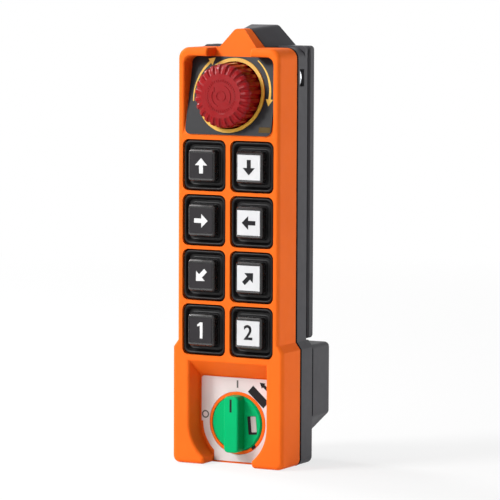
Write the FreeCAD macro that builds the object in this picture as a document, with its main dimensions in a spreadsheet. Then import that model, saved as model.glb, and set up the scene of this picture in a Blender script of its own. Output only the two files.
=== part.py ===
"""Hand-held pushbutton radio transmitter for a crane or hoist.

Frame: +X to the right seen from the front, +Y to the back, +Z up along the handset, which stands on
its flat bottom. Every sub-part is drawn with y = 0 on the front face of the button field and is then
moved back, so that the origin lies at the bottom centre of the whole handset.
"""
import FreeCAD, Part
import math
import os
import re
import Sketcher

# Driving dimensions in millimetres. Depths run back from the front face of the button field.
SIZES = {
    # Housing outline, seen from the front
    "upper_width": 56.8,
    "step_side": 2.6,
    "step_tall": 3.5,
    "front_top": 207.3,
    "rear_rise": 0.7,
    "top_corner": 5.5,
    "foot_corner": 3.5,
    "rim_corner": 2.0,
    "edge_round": 2.2,
    "rim_round": 1.6,
    # Housing depths, from the seam to the back
    "seam_depth": 19.0,
    "gasket_thick": 0.9,
    "rim_setback": 7.6,
    "rim_deep": 2.4,
    "groove_wide": 2.7,
    "groove_inset": 1.2,
    "plate_thick": 5.6,
    "plate_gap": 0.5,
    "plate_bevel": 0.9,
    "shell_wall": 2.5,
    "side_wall": 2.25,
    "back_round": 0.8,
    # Clearances of pieces that only have to miss each other, and of pieces that run or seat in each other
    "fit_gap": 0.3,
    "slide_gap": 0.06,
    # How far a cut runs past a face, and how far a post runs into the wall that carries it
    "over_cut": 1.0,
    "post_root": 0.5,
    # Peak over the top edge: its front section and its wider rear section
    "peak_base": 20.6,
    "peak_apex": 5.0,
    "peak_rise": 9.2,
    "peak_round": 3.0,
    "rear_peak_base": 35.6,
    "rear_peak_apex": 16.0,
    "rear_peak_rise": 10.0,
    # Tilted stop panel between the guard walls
    "panel_drop": 4.2,
    "panel_tall": 39.1,
    "panel_depth": 9.0,
    "panel_corner": 3.7,
    "guard_wall": 3.75,
    "guard_gap": 23.8,
    "guard_round": 1.2,
    "label_gap": 0.7,
    "label_thick": 0.8,
    # Emergency stop, on an axis square to the button field
    "stop_drop": 19.1,
    "knob_reach": 7.8,
    "knob_skirt": 16.3,
    "knob_taper": 0.55,
    "knob_shoulder": 5.2,
    "crown_drop": 1.0,
    "crown_round": 3.0,
    "dish_deep": 0.5,
    "dish_rim": 2.5,
    "dish_slope": 1.0,
    "knob_tail": 9.4,
    "knob_wall": 2.2,
    "knob_hub": 6.2,
    "flute_count": 24,
    "flute_round": 1.15,
    "flute_start": 0.2,
    "flute_lift": 0.75,
    "flute_lean": 23.0,
    "flute_bend": 3.2,
    "flute_sink": 0.1,
    "collar_wall": 1.7,
    "collar_proud": 0.7,
    "stop_travel": 4.0,
    "stem_round": 3.5,
    "stem_tail": 10.0,
    "washer_thick": 0.9,
    "spring_wire": 0.6,
    "spring_turns": 3.5,
    "block_front": 7.6,
    "block_round": 12.0,
    # Indicator window
    "window_inset": 4.4,
    "window_lift": 3.6,
    "window_wide": 6.4,
    "window_tall": 2.6,
    "window_deep": 5.5,
    # Buttons: four rows in two columns
    "row_drop": 14.8,
    "column_web": 2.4,
    "row_web": 1.63,
    "cap_wide": 14.7,
    "cap_tall": 15.6,
    "cap_corner": 2.2,
    "cap_reach": 3.1,
    "cap_bevel": 0.9,
    "cap_lip": 1.4,
    "lip_thick": 1.2,
    "legend_side": 1.1,
    "legend_end": 1.65,
    "legend_thick": 0.6,
    "button_travel": 2.5,
    "aperture_corner": 3.3,
    "boot_side": 4.75,
    "boot_end": 5.0,
    "mat_thick": 1.5,
    "mat_margin": 0.45,
    "boot_sink": 0.9,
    "boot_proud": 0.9,
    "boot_crest": 0.8,
    "boot_ring": 2.2,
    "boot_step": 1.6,
    "button_stem": 2.5,
    "stem_entry": 1.0,
    "switch_side": 12.0,
    "switch_tall": 5.5,
    "board_depth": 14.5,
    "board_thick": 1.6,
    "board_side": 4.4,
    "board_lift": 6.5,
    "board_drop": 10.3,
    "post_round": 3.0,
    # Key switch in its recess
    "key_height": 20.4,
    "recess_wide": 43.0,
    "recess_mouth": 26.8,
    "recess_rise": 23.0,
    "roof_rise": 8.6,
    "key_plate_depth": 11.1,
    "key_plate_thick": 0.8,
    "key_plate_gap": 1.2,
    "key_plate_lift": 1.0,
    "key_plate_corner": 1.5,
    "key_ring_wide": 1.54,
    "key_ring_proud": 0.2,
    "key_ring_round": 0.7,
    "key_disc": 13.9,
    "key_disc_proud": 0.8,
    "key_grip_wide": 8.15,
    "key_grip_over": 0.2,
    "key_grip_reach": 7.3,
    "key_grip_corner": 2.3,
    "key_grip_round": 1.0,
    "pointer_inset": 1.4,
    "pointer_wide": 1.2,
    "pointer_tall": 6.5,
    "pointer_thick": 0.6,
    "rotor_round": 7.0,
    "rotor_long": 4.0,
    "key_block_seat": 1.3,
    "key_block_deep": 5.0,
    # Battery compartment, from the cover's foot upwards
    "cover_foot": 12.5,
    "cover_cut": 11.0,
    "cover_wall": 2.0,
    "cover_round": 1.6,
    "cover_corner": 2.5,
    "cover_lap": 0.8,
    "seal_thick": 0.5,
    "seal_inset": 0.2,
    "tab_wide": 9.0,
    "tab_thick": 1.3,
    "tab_drop": 0.2,
    "tab_clear": 0.55,
    "tab_long": 1.5,
    "tab_root": 4.0,
    "cell_round": 7.25,
    "cell_long": 50.5,
    "cell_nub": 1.5,
    "cell_nub_round": 2.75,
    "cell_space": 2.1,
    "cell_clear": 0.95,
    "contact_thick": 1.4,
    "tray_floor": 2.4,
    "tray_thick": 4.2,
    "tray_end": 1.2,
    "tray_inset": 1.0,
    "cover_screw_lift": 6.4,
    "cover_screw_round": 2.0,
    "cover_screw_head": 4.2,
    "cover_screw_sink": 1.0,
    "coin_slot_wide": 1.4,
    "coin_slot_deep": 0.6,
    # Fasteners and strap staples
    "screw_round": 1.5,
    "screw_head": 2.8,
    "screw_head_thick": 2.0,
    "screw_sink": 0.5,
    "screw_grip": 6.0,
    "boss_round": 3.2,
    "high_screw_inset": 5.9,
    "high_screw_drop": 6.3,
    "mid_screw_inset": 4.8,
    "low_screw_inset": 6.0,
    "low_screw_drop": 6.0,
    "strap_drop": 14.8,
    "strap_tall": 8.5,
    "strap_setback": 1.9,
    "strap_deep": 4.8,
    "strap_sink": 4.2,
    "strap_wall": 1.0,
    "strap_wire": 0.7,
    "strap_inset": 1.2,
    "strap_grip": 1.8,
    "strap_bend": 8.8,
    # Radio module and aerial
    "radio_wide": 30.0,
    "radio_tall": 46.0,
    "radio_drop": 11.0,
    "radio_thick": 1.0,
    "header_tall": 4.9,
    "header_inset": 2.0,
    "header_wide": 4.0,
    "header_long": 20.0,
    "shield_inset": 4.0,
    "shield_tall": 2.6,
    "aerial_round": 2.6,
    "aerial_long": 26.0,
}

# Sizes and places that follow from the driving ones
PLACES = {
    "lower_width": "upper_width + 2 * step_side",
    "rear_top": "front_top + rear_rise",
    "peak_top": "front_top + peak_rise",
    "rear_peak_top": "rear_top + rear_peak_rise",
    "rim_front": "seam_depth + gasket_thick + rim_setback",
    "groove_front": "rim_front + rim_deep",
    "rear_back": "groove_front + groove_wide",
    "plate_back": "rear_back + plate_thick",
    "panel_head": "front_top - panel_drop",
    "panel_foot": "panel_head - panel_tall",
    "panel_width": "upper_width - 2 * guard_wall",
    "label_width": "panel_width - 2 * label_gap",
    "label_corner": "panel_corner - label_gap",
    "stop_height": "panel_head - stop_drop",
    "knob_face": "knob_skirt - knob_shoulder",
    "collar_outer": "knob_skirt + fit_gap + collar_wall",
    "collar_bore": "collar_outer + slide_gap",
    "stem_bore": "stem_round + slide_gap",
    "screw_bore": "screw_round + slide_gap",
    "window_across": "panel_width / 2 - window_inset",
    "window_height": "panel_foot + window_lift",
    "aperture_wide": "cap_wide + 2 * boot_side",
    "aperture_tall": "cap_tall + 2 * boot_end",
    "column_pitch": "aperture_wide + column_web",
    "row_pitch": "aperture_tall + row_web",
    "top_row": "panel_foot - row_drop",
    "legend_wide": "cap_wide - 2 * legend_side",
    "legend_tall": "cap_tall - 2 * legend_end",
    "recess_head": "key_height + recess_rise",
    "recess_rim": "recess_head + roof_rise",
    "key_plate_wide": "recess_wide - 2 * key_plate_gap",
    "key_hole_round": "key_disc + fit_gap",
    "key_plate_hole": "key_hole_round + key_ring_wide + slide_gap",
    "key_grip_tall": "2 * (key_disc + key_grip_over)",
    "key_block_side": "2 * (key_hole_round + key_block_seat)",
    "board_width": "upper_width - 2 * board_side",
    "board_foot": "recess_rim + board_lift",
    "board_head": "front_top - board_drop",
    "radio_head": "board_head - radio_drop",
    "radio_foot": "radio_head - radio_tall",
    "cover_screw_height": "cover_foot + cover_screw_lift",
    "cell_lower": "cover_screw_height + 2 * cover_screw_round + cell_clear + cell_round",
    "cell_upper": "cell_lower + 2 * cell_round + cell_space",
    "cell_depth": "rear_back + tray_floor + cell_round",
    "cover_back": "cell_depth + cell_round + fit_gap + cover_wall",
    "cover_head": "cell_upper + cell_round + tab_clear + tab_thick + tab_drop + cover_wall",
    "step_low": "cover_head - cover_lap",
    "step_high": "step_low + step_tall",
    "plate_foot": "step_high + plate_gap",
    "high_screw_across": "upper_width / 2 - high_screw_inset",
    "high_screw_height": "front_top - high_screw_drop",
    "mid_screw_across": "upper_width / 2 - mid_screw_inset",
    "low_screw_across": "lower_width / 2 - low_screw_inset",
    "low_screw_height": "cover_foot - low_screw_drop",
    "strap_height": "front_top - strap_drop",
    "strap_front": "seam_depth + gasket_thick + strap_setback",
}

# Two places this near each other, in millimetres, count as one
SAME_PLACE = 0.05
BUTTON_ROWS = 4
BUTTON_SIDES = {"left": "-column_pitch / 2", "right": "column_pitch / 2"}

doc = FreeCAD.newDocument("Transmitter")
sheet = doc.addObject("Spreadsheet::Sheet", "Sizes")
for row, (alias, size) in enumerate(SIZES.items(), start=1):
    sheet.set("A%d" % row, alias)
    sheet.set("B%d" % row, str(size))
    sheet.setAlias("B%d" % row, alias)
doc.recompute()

sub_parts = []


def bound(formula):
    """Write a formula of size and place names as one that reads the sheet's sizes."""
    def spelled(word):
        name = word.group()
        if name in PLACES:
            return "(%s)" % bound(PLACES[name])
        return "Sizes." + name if name in SIZES else name

    return re.sub(r"[a-z][a-z_]+", spelled, formula)


def value(formula):
    """The number that a formula gives with the sheet's sizes."""
    return float(sheet.evalExpression(bound(formula)))


def new_body(label):
    """A sub-part of its own, moved back from the drawing plane to the handset's frame."""
    body = doc.addObject("PartDesign::Body", label)
    body.Label = label
    body.AllowCompound = True
    body.setExpression("Placement.Base.y", bound("-(cover_back - knob_reach) / 2"))
    sub_parts.append(body)
    return body


def origin_plane(body, role):
    return next(item for item in body.Origin.OriginFeatures if item.Role == role)


def pin(sketch, geometry, point, across, along):
    """Hold one point of a sketch at two formulas."""
    for axis, formula in (("DistanceX", across), ("DistanceY", along)):
        index = sketch.addConstraint(Sketcher.Constraint(axis, -1, 1, geometry, point, value(formula)))
        name = "%s_%d_%d" % (axis, geometry, point)
        sketch.renameConstraint(index, name)
        sketch.setExpression("Constraints." + name, bound(formula))


def add_circle(sketch, across, along, radius):
    centre = FreeCAD.Vector(value(across), value(along), 0)
    geometry = sketch.addGeometry(Part.Circle(centre, FreeCAD.Vector(0, 0, 1), value(radius)), False)
    pin(sketch, geometry, 3, across, along)
    index = sketch.addConstraint(Sketcher.Constraint("Radius", geometry, value(radius)))
    name = "Radius_%d" % geometry
    sketch.renameConstraint(index, name)
    sketch.setExpression("Constraints." + name, bound(radius))


def add_polygon(sketch, corners):
    points = [FreeCAD.Vector(value(across), value(along), 0) for across, along in corners]
    first = sketch.GeometryCount
    count = len(points)
    for number in range(count):
        sketch.addGeometry(Part.LineSegment(points[number], points[(number + 1) % count]), False)
    for number, (across, along) in enumerate(corners):
        following = first + (number + 1) % count
        sketch.addConstraint(Sketcher.Constraint("Coincident", first + number, 2, following, 1))
        pin(sketch, first + number, 1, across, along)


def draw(body, name, role, contours, offset="0", lift="0", aside="0"):
    """Draw closed contours on one of the body's origin planes, each point bound to the sheet."""
    sketch = body.newObject("Sketcher::SketchObject", name)
    sketch.AttachmentSupport = (origin_plane(body, role), "")
    sketch.MapMode = "FlatFace"
    sketch.setExpression("AttachmentOffset.Base.z", bound(offset))
    sketch.setExpression("AttachmentOffset.Base.y", bound(lift))
    sketch.setExpression("AttachmentOffset.Base.x", bound(aside))
    for contour in contours:
        if contour[0] == "circle":
            add_circle(sketch, *contour[1:])
        else:
            add_polygon(sketch, contour)
    return sketch


def circle(across, along, radius):
    return ("circle", across, along, radius)


def rectangle(low_x, high_x, low_z, high_z):
    return [(low_x, low_z), (high_x, low_z), (high_x, high_z), (low_x, high_z)]


def strip(width, low_z, high_z):
    """A rectangle of a given width about the middle of the handset."""
    return rectangle("-(%s) / 2" % width, "(%s) / 2" % width, low_z, high_z)


def centred(across, along, wide, tall):
    """A rectangle about a centre."""
    half_wide = "(%s) / 2" % wide
    half_tall = "(%s) / 2" % tall
    return rectangle("%s - %s" % (across, half_wide), "%s + %s" % (across, half_wide),
                     "%s - %s" % (along, half_tall), "%s + %s" % (along, half_tall))


def mirrored_outline(right_half):
    """A closed outline from its right half, listed from the bottom to the top."""
    return right_half + [("-(%s)" % across, along) for across, along in reversed(right_half)]


def slab(body, name, contours, front, back):
    """Pad front-view contours between two depths."""
    pad = body.newObject("PartDesign::Pad", name)
    pad.Profile = draw(body, name + "_outline", "XZ_Plane", contours, "-(%s)" % front)
    pad.Reversed = True
    pad.setExpression("Length", bound("(%s) - (%s)" % (back, front)))
    body.Tip = pad
    return pad


def beam(body, name, contours, width):
    """Pad side-view contours evenly to both sides."""
    pad = body.newObject("PartDesign::Pad", name)
    pad.Profile = draw(body, name + "_profile", "YZ_Plane", contours)
    pad.SideType = "Symmetric"
    pad.setExpression("Length", bound(width))
    body.Tip = pad
    return pad


def finish_cut(body, feature, before):
    """Stop where a cut has missed the solid."""
    body.Tip = feature
    doc.recompute()
    if not feature.Shape.Volume < before - 1e-6:
        raise RuntimeError("%s cuts nothing" % feature.Label)


def well(body, name, contours, front, back):
    """Cut front-view contours between two depths."""
    doc.recompute()
    before = body.Tip.Shape.Volume
    pocket = body.newObject("PartDesign::Pocket", name)
    pocket.Profile = draw(body, name + "_outline", "XZ_Plane", contours, "-(%s)" % front)
    pocket.setExpression("Length", bound("(%s) - (%s)" % (back, front)))
    finish_cut(body, pocket, before)
    return pocket


def channel(body, name, contours, width):
    """Cut side-view contours evenly to both sides."""
    doc.recompute()
    before = body.Tip.Shape.Volume
    pocket = body.newObject("PartDesign::Pocket", name)
    pocket.Profile = draw(body, name + "_profile", "YZ_Plane", contours)
    pocket.SideType = "Symmetric"
    pocket.setExpression("Length", bound(width))
    finish_cut(body, pocket, before)
    return pocket


def turned(body, name, profile, height):
    """Revolve a profile of (depth, radius) points about an axis that runs front to back."""
    sketch = draw(body, name + "_profile", "YZ_Plane", [profile], "0", height)
    revolution = body.newObject("PartDesign::Revolution", name)
    revolution.Profile = sketch
    revolution.ReferenceAxis = (sketch, ["H_Axis"])
    revolution.Angle = 360
    body.Tip = revolution
    return revolution


def dress(body, kind, name, size, chosen):
    """Round or chamfer the edges of the body's tip that a test chooses."""
    doc.recompute()
    base = body.Tip
    names = ["Edge%d" % (index + 1) for index, edge in enumerate(base.Shape.Edges) if chosen(edge)]
    if not names:
        raise RuntimeError("%s of %s finds no edge" % (name, body.Label))
    feature = body.newObject("PartDesign::" + kind, name)
    feature.Base = (base, names)
    feature.setExpression("Radius" if kind == "Fillet" else "Size", bound(size))
    body.Tip = feature
    return feature


def runs(edge, axis):
    """Whether an edge is straight along one axis."""
    box = edge.BoundBox
    spans = {"x": box.XLength, "y": box.YLength, "z": box.ZLength}
    return all((span > SAME_PLACE) == (name == axis) for name, span in spans.items())


def near(number, formula):
    return abs(number - value(formula)) < SAME_PLACE


def panel_depth_at(height):
    """Depth of the tilted stop panel at a height."""
    return "((%s) - panel_foot) * panel_depth / (panel_head - panel_foot)" % height


def button_places():
    """Name, centre across and centre height of each button."""
    for side, across in BUTTON_SIDES.items():
        for number in range(BUTTON_ROWS):
            yield "%s_%d" % (side, number + 1), across, "top_row - %d * row_pitch" % number


def at_buttons(wide, tall):
    """A rectangle about each button's centre."""
    return [centred(across, height, wide, tall) for name, across, height in button_places()]


def post_heights():
    """Heights of the two board posts, between the first and last pairs of button rows."""
    return ["top_row - 0.5 * row_pitch", "top_row - 2.5 * row_pitch"]


def at_posts(radius):
    """A circle at each board post."""
    return [circle("0", height, radius) for height in post_heights()]


def screw_places():
    """Level, centre across and height of each long screw that holds the housings together."""
    heights = {"high": "high_screw_height", "mid": post_heights()[1], "low": "low_screw_height"}
    for level, height in heights.items():
        for sign in ("", "-"):
            yield level, "%s%s_screw_across" % (sign, level), height


def screw_circles(radius, levels=("high", "mid", "low")):
    """A circle at each long screw of some levels."""
    return [circle(across, height, radius) for level, across, height in screw_places() if level in levels]


# Front view of the handset below the peak
side_half = [("lower_width / 2", "0"), ("lower_width / 2", "step_low"), ("upper_width / 2", "step_high"),
             ("upper_width / 2", "front_top")]
plain_outline = mirrored_outline(side_half)


def rounds_top_corner(edge):
    """An upper corner of the housing outline."""
    centre = edge.CenterOfMass
    return runs(edge, "y") and near(abs(centre.x), "upper_width / 2") and near(centre.z, "front_top")


# Front view of the peak at the front of the handset
front_peak = mirrored_outline([("peak_base / 2", "front_top - shell_wall"), ("peak_base / 2", "front_top"),
                               ("peak_apex / 2", "peak_top")])


def rounds_peak(edge):
    """A shoulder of the peak, which runs from front to back."""
    box = edge.BoundBox
    crosses = box.XMin < 0 < box.XMax
    return box.ZMin > value("peak_top") - value("over_cut") and box.YLength > box.XLength and not crosses


def rounds_rear_corner(edge):
    """An upper corner of the rim and plate behind the housing."""
    centre = edge.CenterOfMass
    return runs(edge, "y") and near(abs(centre.x), "upper_width / 2") and near(centre.z, "rear_top")


def rounds_foot_corner(edge):
    """A lower corner of the housing outline."""
    centre = edge.CenterOfMass
    return runs(edge, "y") and near(abs(centre.x), "lower_width / 2") and near(centre.z, "0")


def plan_section(half_width):
    """Plan of the front housing at one height, with rounded front corners."""
    half = [(half_width, "seam_depth")]
    for turn in range(0, 91, 15):
        half.append(("%s - edge_round * (1 - cos(%d deg))" % (half_width, turn),
                     "edge_round * (1 - sin(%d deg))" % turn))
    return mirrored_outline(half)


def make_front_housing():
    body = new_body("front_housing")
    slab(body, "upper_block", [strip("upper_width", "step_high", "front_top")], "0", "seam_depth")
    dress(body, "Fillet", "top_corners", "top_corner", rounds_top_corner)

    def rounds_upper(edge):
        box = edge.BoundBox
        return box.YMax < value("slide_gap") and box.ZMax > value("step_high + over_cut")

    dress(body, "Fillet", "upper_edges", "edge_round", rounds_upper)
    slab(body, "lower_block", [strip("lower_width", "0", "step_low")], "0", "seam_depth")
    dress(body, "Fillet", "foot_corners", "foot_corner", rounds_foot_corner)

    def rounds_lower(edge):
        box = edge.BoundBox
        below = box.ZMin < value("step_low - over_cut") and box.ZMax < value("step_low + over_cut")
        return box.YMax < value("slide_gap") and below

    dress(body, "Fillet", "lower_edges", "edge_round", rounds_lower)
    step = body.newObject("PartDesign::AdditiveLoft", "step")
    step.Profile = draw(body, "step_foot", "XY_Plane", [plan_section("lower_width / 2")], "step_low")
    step.Sections = [draw(body, "step_head", "XY_Plane", [plan_section("upper_width / 2")], "step_high")]
    body.Tip = step
    slab(body, "peak", [front_peak], "edge_round", "seam_depth")
    dress(body, "Fillet", "peak_shoulders", "peak_round", rounds_peak)
    floor_back = "key_plate_depth + key_plate_thick + shell_wall"
    slope_wall = "shell_wall / cos(atan(panel_depth / (panel_head - panel_foot)))"
    behind = "seam_depth + over_cut"
    cavity = [(behind, "shell_wall"), (floor_back, "shell_wall"), (floor_back, "recess_head + shell_wall"),
              ("shell_wall", "recess_rim + shell_wall"), ("shell_wall", "panel_foot"),
              (panel_depth_at("front_top - shell_wall") + " + " + slope_wall, "front_top - shell_wall"),
              (behind, "front_top - shell_wall")]
    channel(body, "cavity", [cavity], "upper_width - 2 * side_wall")
    well(body, "apertures", at_buttons("aperture_wide", "aperture_tall"), "-over_cut",
         "shell_wall + over_cut")

    def rounds_aperture(edge):
        box = edge.BoundBox
        inside = box.ZMin > value("recess_rim") and box.ZMax < value("panel_foot")
        return runs(edge, "y") and near(box.YLength, "shell_wall") and inside and near(box.YMin, "0")

    dress(body, "Fillet", "aperture_corners", "aperture_corner", rounds_aperture)
    add_stop_panel(body)
    add_key_recess(body)
    add_bosses(body)


def add_stop_panel(body):
    """The tilted panel between the guard walls, open at the top between their returns."""
    ahead = "-over_cut"
    above = "peak_top + over_cut"
    under = "panel_head - over_cut"
    channel(body, "panel", [[(ahead, "panel_foot"), ("0", "panel_foot"), ("panel_depth", "panel_head"),
                             (ahead, "panel_head")]], "panel_width")

    def panel_corner(edge):
        centre = edge.CenterOfMass
        return runs(edge, "y") and near(abs(centre.x), "panel_width / 2") and near(centre.z, "panel_head")

    dress(body, "Fillet", "panel_corners", "panel_corner", panel_corner)
    channel(body, "panel_mouth", [[(ahead, under), (panel_depth_at(under), under),
                                   (panel_depth_at(above), above), (ahead, above)]], "guard_gap")

    def guard_lip(edge):
        box = edge.BoundBox
        inside = abs(edge.CenterOfMass.x) < value("panel_width / 2 + slide_gap")
        return box.YMax < value("slide_gap") and inside and box.ZMax > value("panel_foot + over_cut")

    dress(body, "Fillet", "guard_lips", "guard_round", guard_lip)
    well(body, "collar_hole", [circle("0", "stop_height", "collar_bore")], ahead, "board_depth")
    well(body, "window_hole", [centred("window_across", "window_height", "window_wide + 2 * slide_gap",
                                       "window_tall + 2 * slide_gap")], ahead, "panel_depth")


def add_key_recess(body):
    """The recess for the key: straight sides, a round foot that opens downwards and a sloping roof."""
    ahead = "-over_cut"
    floor = "key_plate_depth + key_plate_thick"
    under = "recess_head - over_cut"
    well(body, "recess_sides", [centred("0", "(key_height + recess_head) / 2", "recess_wide",
                                        "recess_head - key_height")], ahead, floor)
    well(body, "recess_foot", [circle("0", "key_height", "recess_wide / 2")], ahead, floor)
    well(body, "recess_mouth", [strip("recess_mouth", ahead, "key_height")], ahead, floor)
    roof = [("0", under), ("0", "recess_rim"), (floor, "recess_head"), (floor, under)]
    channel(body, "recess_roof", [roof], "recess_wide")

    def rounds_rim(edge):
        box = edge.BoundBox
        centre = edge.CenterOfMass
        in_width = abs(centre.x) < value("recess_wide / 2 + slide_gap")
        in_height = value("edge_round + slide_gap") < centre.z < value("recess_rim + slide_gap")
        return box.YMax < value("slide_gap") and in_width and in_height

    dress(body, "Fillet", "recess_edges", "rim_round", rounds_rim)
    slab(body, "key_ring", [circle("0", "key_height", "key_plate_hole - slide_gap")],
         "key_plate_depth - key_ring_proud", floor)

    def ring_edge(edge):
        return near(edge.BoundBox.YMax, "key_plate_depth - key_ring_proud") and edge.Closed

    dress(body, "Fillet", "ring_round", "key_ring_round", ring_edge)
    well(body, "key_hole", [circle("0", "key_height", "key_hole_round")],
         "key_plate_depth - over_cut", floor + " + shell_wall + over_cut")


def add_bosses(body):
    """Screw bosses at the seam and the two posts that carry the main board."""
    fronts = {"high": panel_depth_at("high_screw_height") + " + post_root",
              "mid": "board_depth - switch_tall",
              "low": "key_plate_depth"}
    for level, front in fronts.items():
        slab(body, level + "_bosses", screw_circles("boss_round", [level]), front, "seam_depth")
    well(body, "boss_pilots", screw_circles("screw_bore"), "seam_depth - screw_grip - over_cut",
         "seam_depth")
    slab(body, "board_posts", at_posts("post_round"), "shell_wall - post_root", "board_depth")
    well(body, "post_pilots", at_posts("screw_bore"), "board_depth - screw_grip - over_cut", "board_depth")


def make_rear_housing():
    body = new_body("rear_housing")
    seam = "seam_depth + gasket_thick"
    slab(body, "round_rim", [plain_outline], seam, "rim_front")
    dress(body, "Fillet", "top_corners", "top_corner", rounds_top_corner)
    lower = mirrored_outline([("lower_width / 2", "0"), ("lower_width / 2", "step_low"),
                              ("upper_width / 2", "step_high")])
    slab(body, "lower_block", [lower], seam, "rear_back")
    dress(body, "Fillet", "foot_corners", "foot_corner", rounds_foot_corner)
    slab(body, "square_rim", [strip("upper_width", "step_low", "rear_top")], "rim_front", "groove_front")
    dress(body, "Fillet", "rim_corners", "rim_corner", rounds_rear_corner)
    seat = strip("upper_width - 2 * groove_inset", "step_low", "rear_top - groove_inset")
    slab(body, "plate_seat", [seat], "groove_front - over_cut", "rear_back")
    front_section = draw(body, "peak_front", "XZ_Plane", [front_peak], "-(%s)" % seam)
    rear_section = draw(body, "peak_rear", "XZ_Plane", [mirrored_outline(
        [("rear_peak_base / 2", "front_top - shell_wall"), ("rear_peak_base / 2", "rear_top"),
         ("rear_peak_apex / 2", "rear_peak_top")])], "-plate_back")
    peak = body.newObject("PartDesign::AdditiveLoft", "peak")
    peak.Profile = front_section
    peak.Sections = [rear_section]
    body.Tip = peak
    dress(body, "Fillet", "peak_shoulders", "peak_round", rounds_peak)
    well(body, "peak_heel", [strip("upper_width", "step_high", "rear_top + slide_gap")], "rear_back",
         "plate_back + over_cut")

    def foot_edge(edge):
        centre = edge.CenterOfMass
        return runs(edge, "x") and near(centre.y, "rear_back") and near(centre.z, "0")

    dress(body, "Fillet", "back_edges", "back_round", foot_edge)
    inner_back = "rear_back - shell_wall"
    upper_cavity = strip("upper_width - 2 * (strap_sink + strap_wall)", "step_high - 2 * shell_wall",
                         "front_top - shell_wall")
    well(body, "upper_cavity", [upper_cavity], "seam_depth", inner_back)
    lower_cavity = strip("lower_width - 2 * shell_wall", "4 * shell_wall", "step_low - shell_wall")
    well(body, "lower_cavity", [lower_cavity], "seam_depth", inner_back)
    add_strap_recesses(body)
    add_cover_seat(body)
    slab(body, "screw_posts", screw_circles("boss_round"), seam, "rear_back - over_cut")
    well(body, "screw_holes", screw_circles("screw_bore"), "seam_depth", "plate_back")
    well(body, "low_screw_seats", screw_circles("screw_head + fit_gap", ["low"]),
         "rear_back - screw_head_thick - screw_sink", "rear_back + over_cut")


def strap_arc(body, kind, name, sign, radius):
    """A round section about the bowed centre line of a strap staple, as a solid or as the seat for one."""
    bow_centre = "upper_width / 2 - strap_inset - strap_bend"
    sketch = draw(body, name + "_section", "XY_Plane", [circle(
        sign + "strap_bend", "strap_front + strap_deep / 2", radius)], "strap_height", "0",
        "%s(%s)" % (sign, bow_centre))
    arc = body.newObject("PartDesign::" + kind, name)
    arc.Profile = sketch
    arc.ReferenceAxis = (sketch, ["V_Axis"])
    arc.Midplane = True
    arc.setExpression("Angle", bound("2 * asin((strap_tall / 2 + strap_grip) / strap_bend)"))
    return arc


def add_strap_recesses(body):
    """A recess in each side wall, with a seat above and below it for the bowed steel staple."""
    for side, sign in (("right", ""), ("left", "-")):
        recess = centred("%s(upper_width / 2 + (over_cut - strap_sink) / 2)" % sign, "strap_height",
                         "strap_sink + over_cut", "strap_tall")
        well(body, "strap_recess_" + side, [recess], "strap_front", "strap_front + strap_deep")
        before = body.Tip.Shape.Volume
        seat = strap_arc(body, "Groove", "strap_seat_" + side, sign, "strap_wire + slide_gap")
        finish_cut(body, seat, before)


def add_cover_seat(body):
    """The boss for the cover's screw and the two slots for its top tabs."""
    slab(body, "cover_boss", [circle("0", "cover_screw_height", "2 * cover_screw_round")],
         "rear_back - over_cut", "cover_back - 2 * cover_wall")
    well(body, "cover_boss_hole", [circle("0", "cover_screw_height", "cover_screw_round + slide_gap")],
         "rear_back + over_cut", "cover_back")
    well(body, "tab_slots", [cover_tab(sign, "fit_gap") for sign in ("", "-")],
         "rear_back - tab_long - fit_gap", "rear_back + over_cut")


def cover_tab(sign, spare):
    """Front view of one top tab of the battery cover, with room to spare round it."""
    middle = "cover_head - cover_wall - tab_drop - tab_thick / 2"
    return centred("%s(lower_width / 4)" % sign, middle, "tab_wide + 2 * " + spare,
                   "tab_thick + 2 * " + spare)


def make_back_plate():
    body = new_body("back_plate")
    slab(body, "plate", [strip("upper_width", "plate_foot", "rear_top")], "rear_back", "plate_back")

    def plate_corner(edge):
        return runs(edge, "y")

    dress(body, "Fillet", "plate_corners", "rim_corner", plate_corner)

    def back_edge(edge):
        return near(edge.BoundBox.YMin, "plate_back")

    dress(body, "Chamfer", "back_bevel", "plate_bevel", back_edge)

    def front_edge(edge):
        return near(edge.BoundBox.YMax, "rear_back")

    dress(body, "Chamfer", "front_bevel", "plate_bevel", front_edge)
    well(body, "plate_holes", screw_circles("screw_bore", ["high", "mid"]), "rear_back - over_cut",
         "plate_back + over_cut")
    well(body, "head_seats", screw_circles("screw_head + fit_gap", ["high", "mid"]),
         "plate_back - screw_head_thick - screw_sink", "plate_back + over_cut")


def make_gasket():
    body = new_body("housing_gasket")
    slab(body, "gasket_sheet", [plain_outline], "seam_depth", "seam_depth + gasket_thick")
    dress(body, "Fillet", "top_corners", "top_corner", rounds_top_corner)
    dress(body, "Fillet", "foot_corners", "foot_corner", rounds_foot_corner)
    window = strip("upper_width - 2 * shell_wall", "shell_wall", "front_top - shell_wall")
    well(body, "gasket_window", [window], "seam_depth - over_cut", "rear_back")
    well(body, "gasket_holes", screw_circles("screw_bore", ["low"]), "seam_depth - over_cut", "rear_back")


def make_housing_screws():
    body = new_body("housing_screws")
    for level, face in (("high", "plate_back"), ("mid", "plate_back"), ("low", "rear_back")):
        seat = face + " - screw_head_thick - screw_sink"
        slab(body, level + "_shanks", screw_circles("screw_round", [level]), "seam_depth - screw_grip", seat)
        slab(body, level + "_heads", screw_circles("screw_head", [level]), seat,
             seat + " + screw_head_thick")


def make_strap_bars():
    for side, sign in (("right", ""), ("left", "-")):
        body = new_body("strap_bar_" + side)
        body.Tip = strap_arc(body, "Revolution", "staple", sign, "strap_wire")


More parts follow.
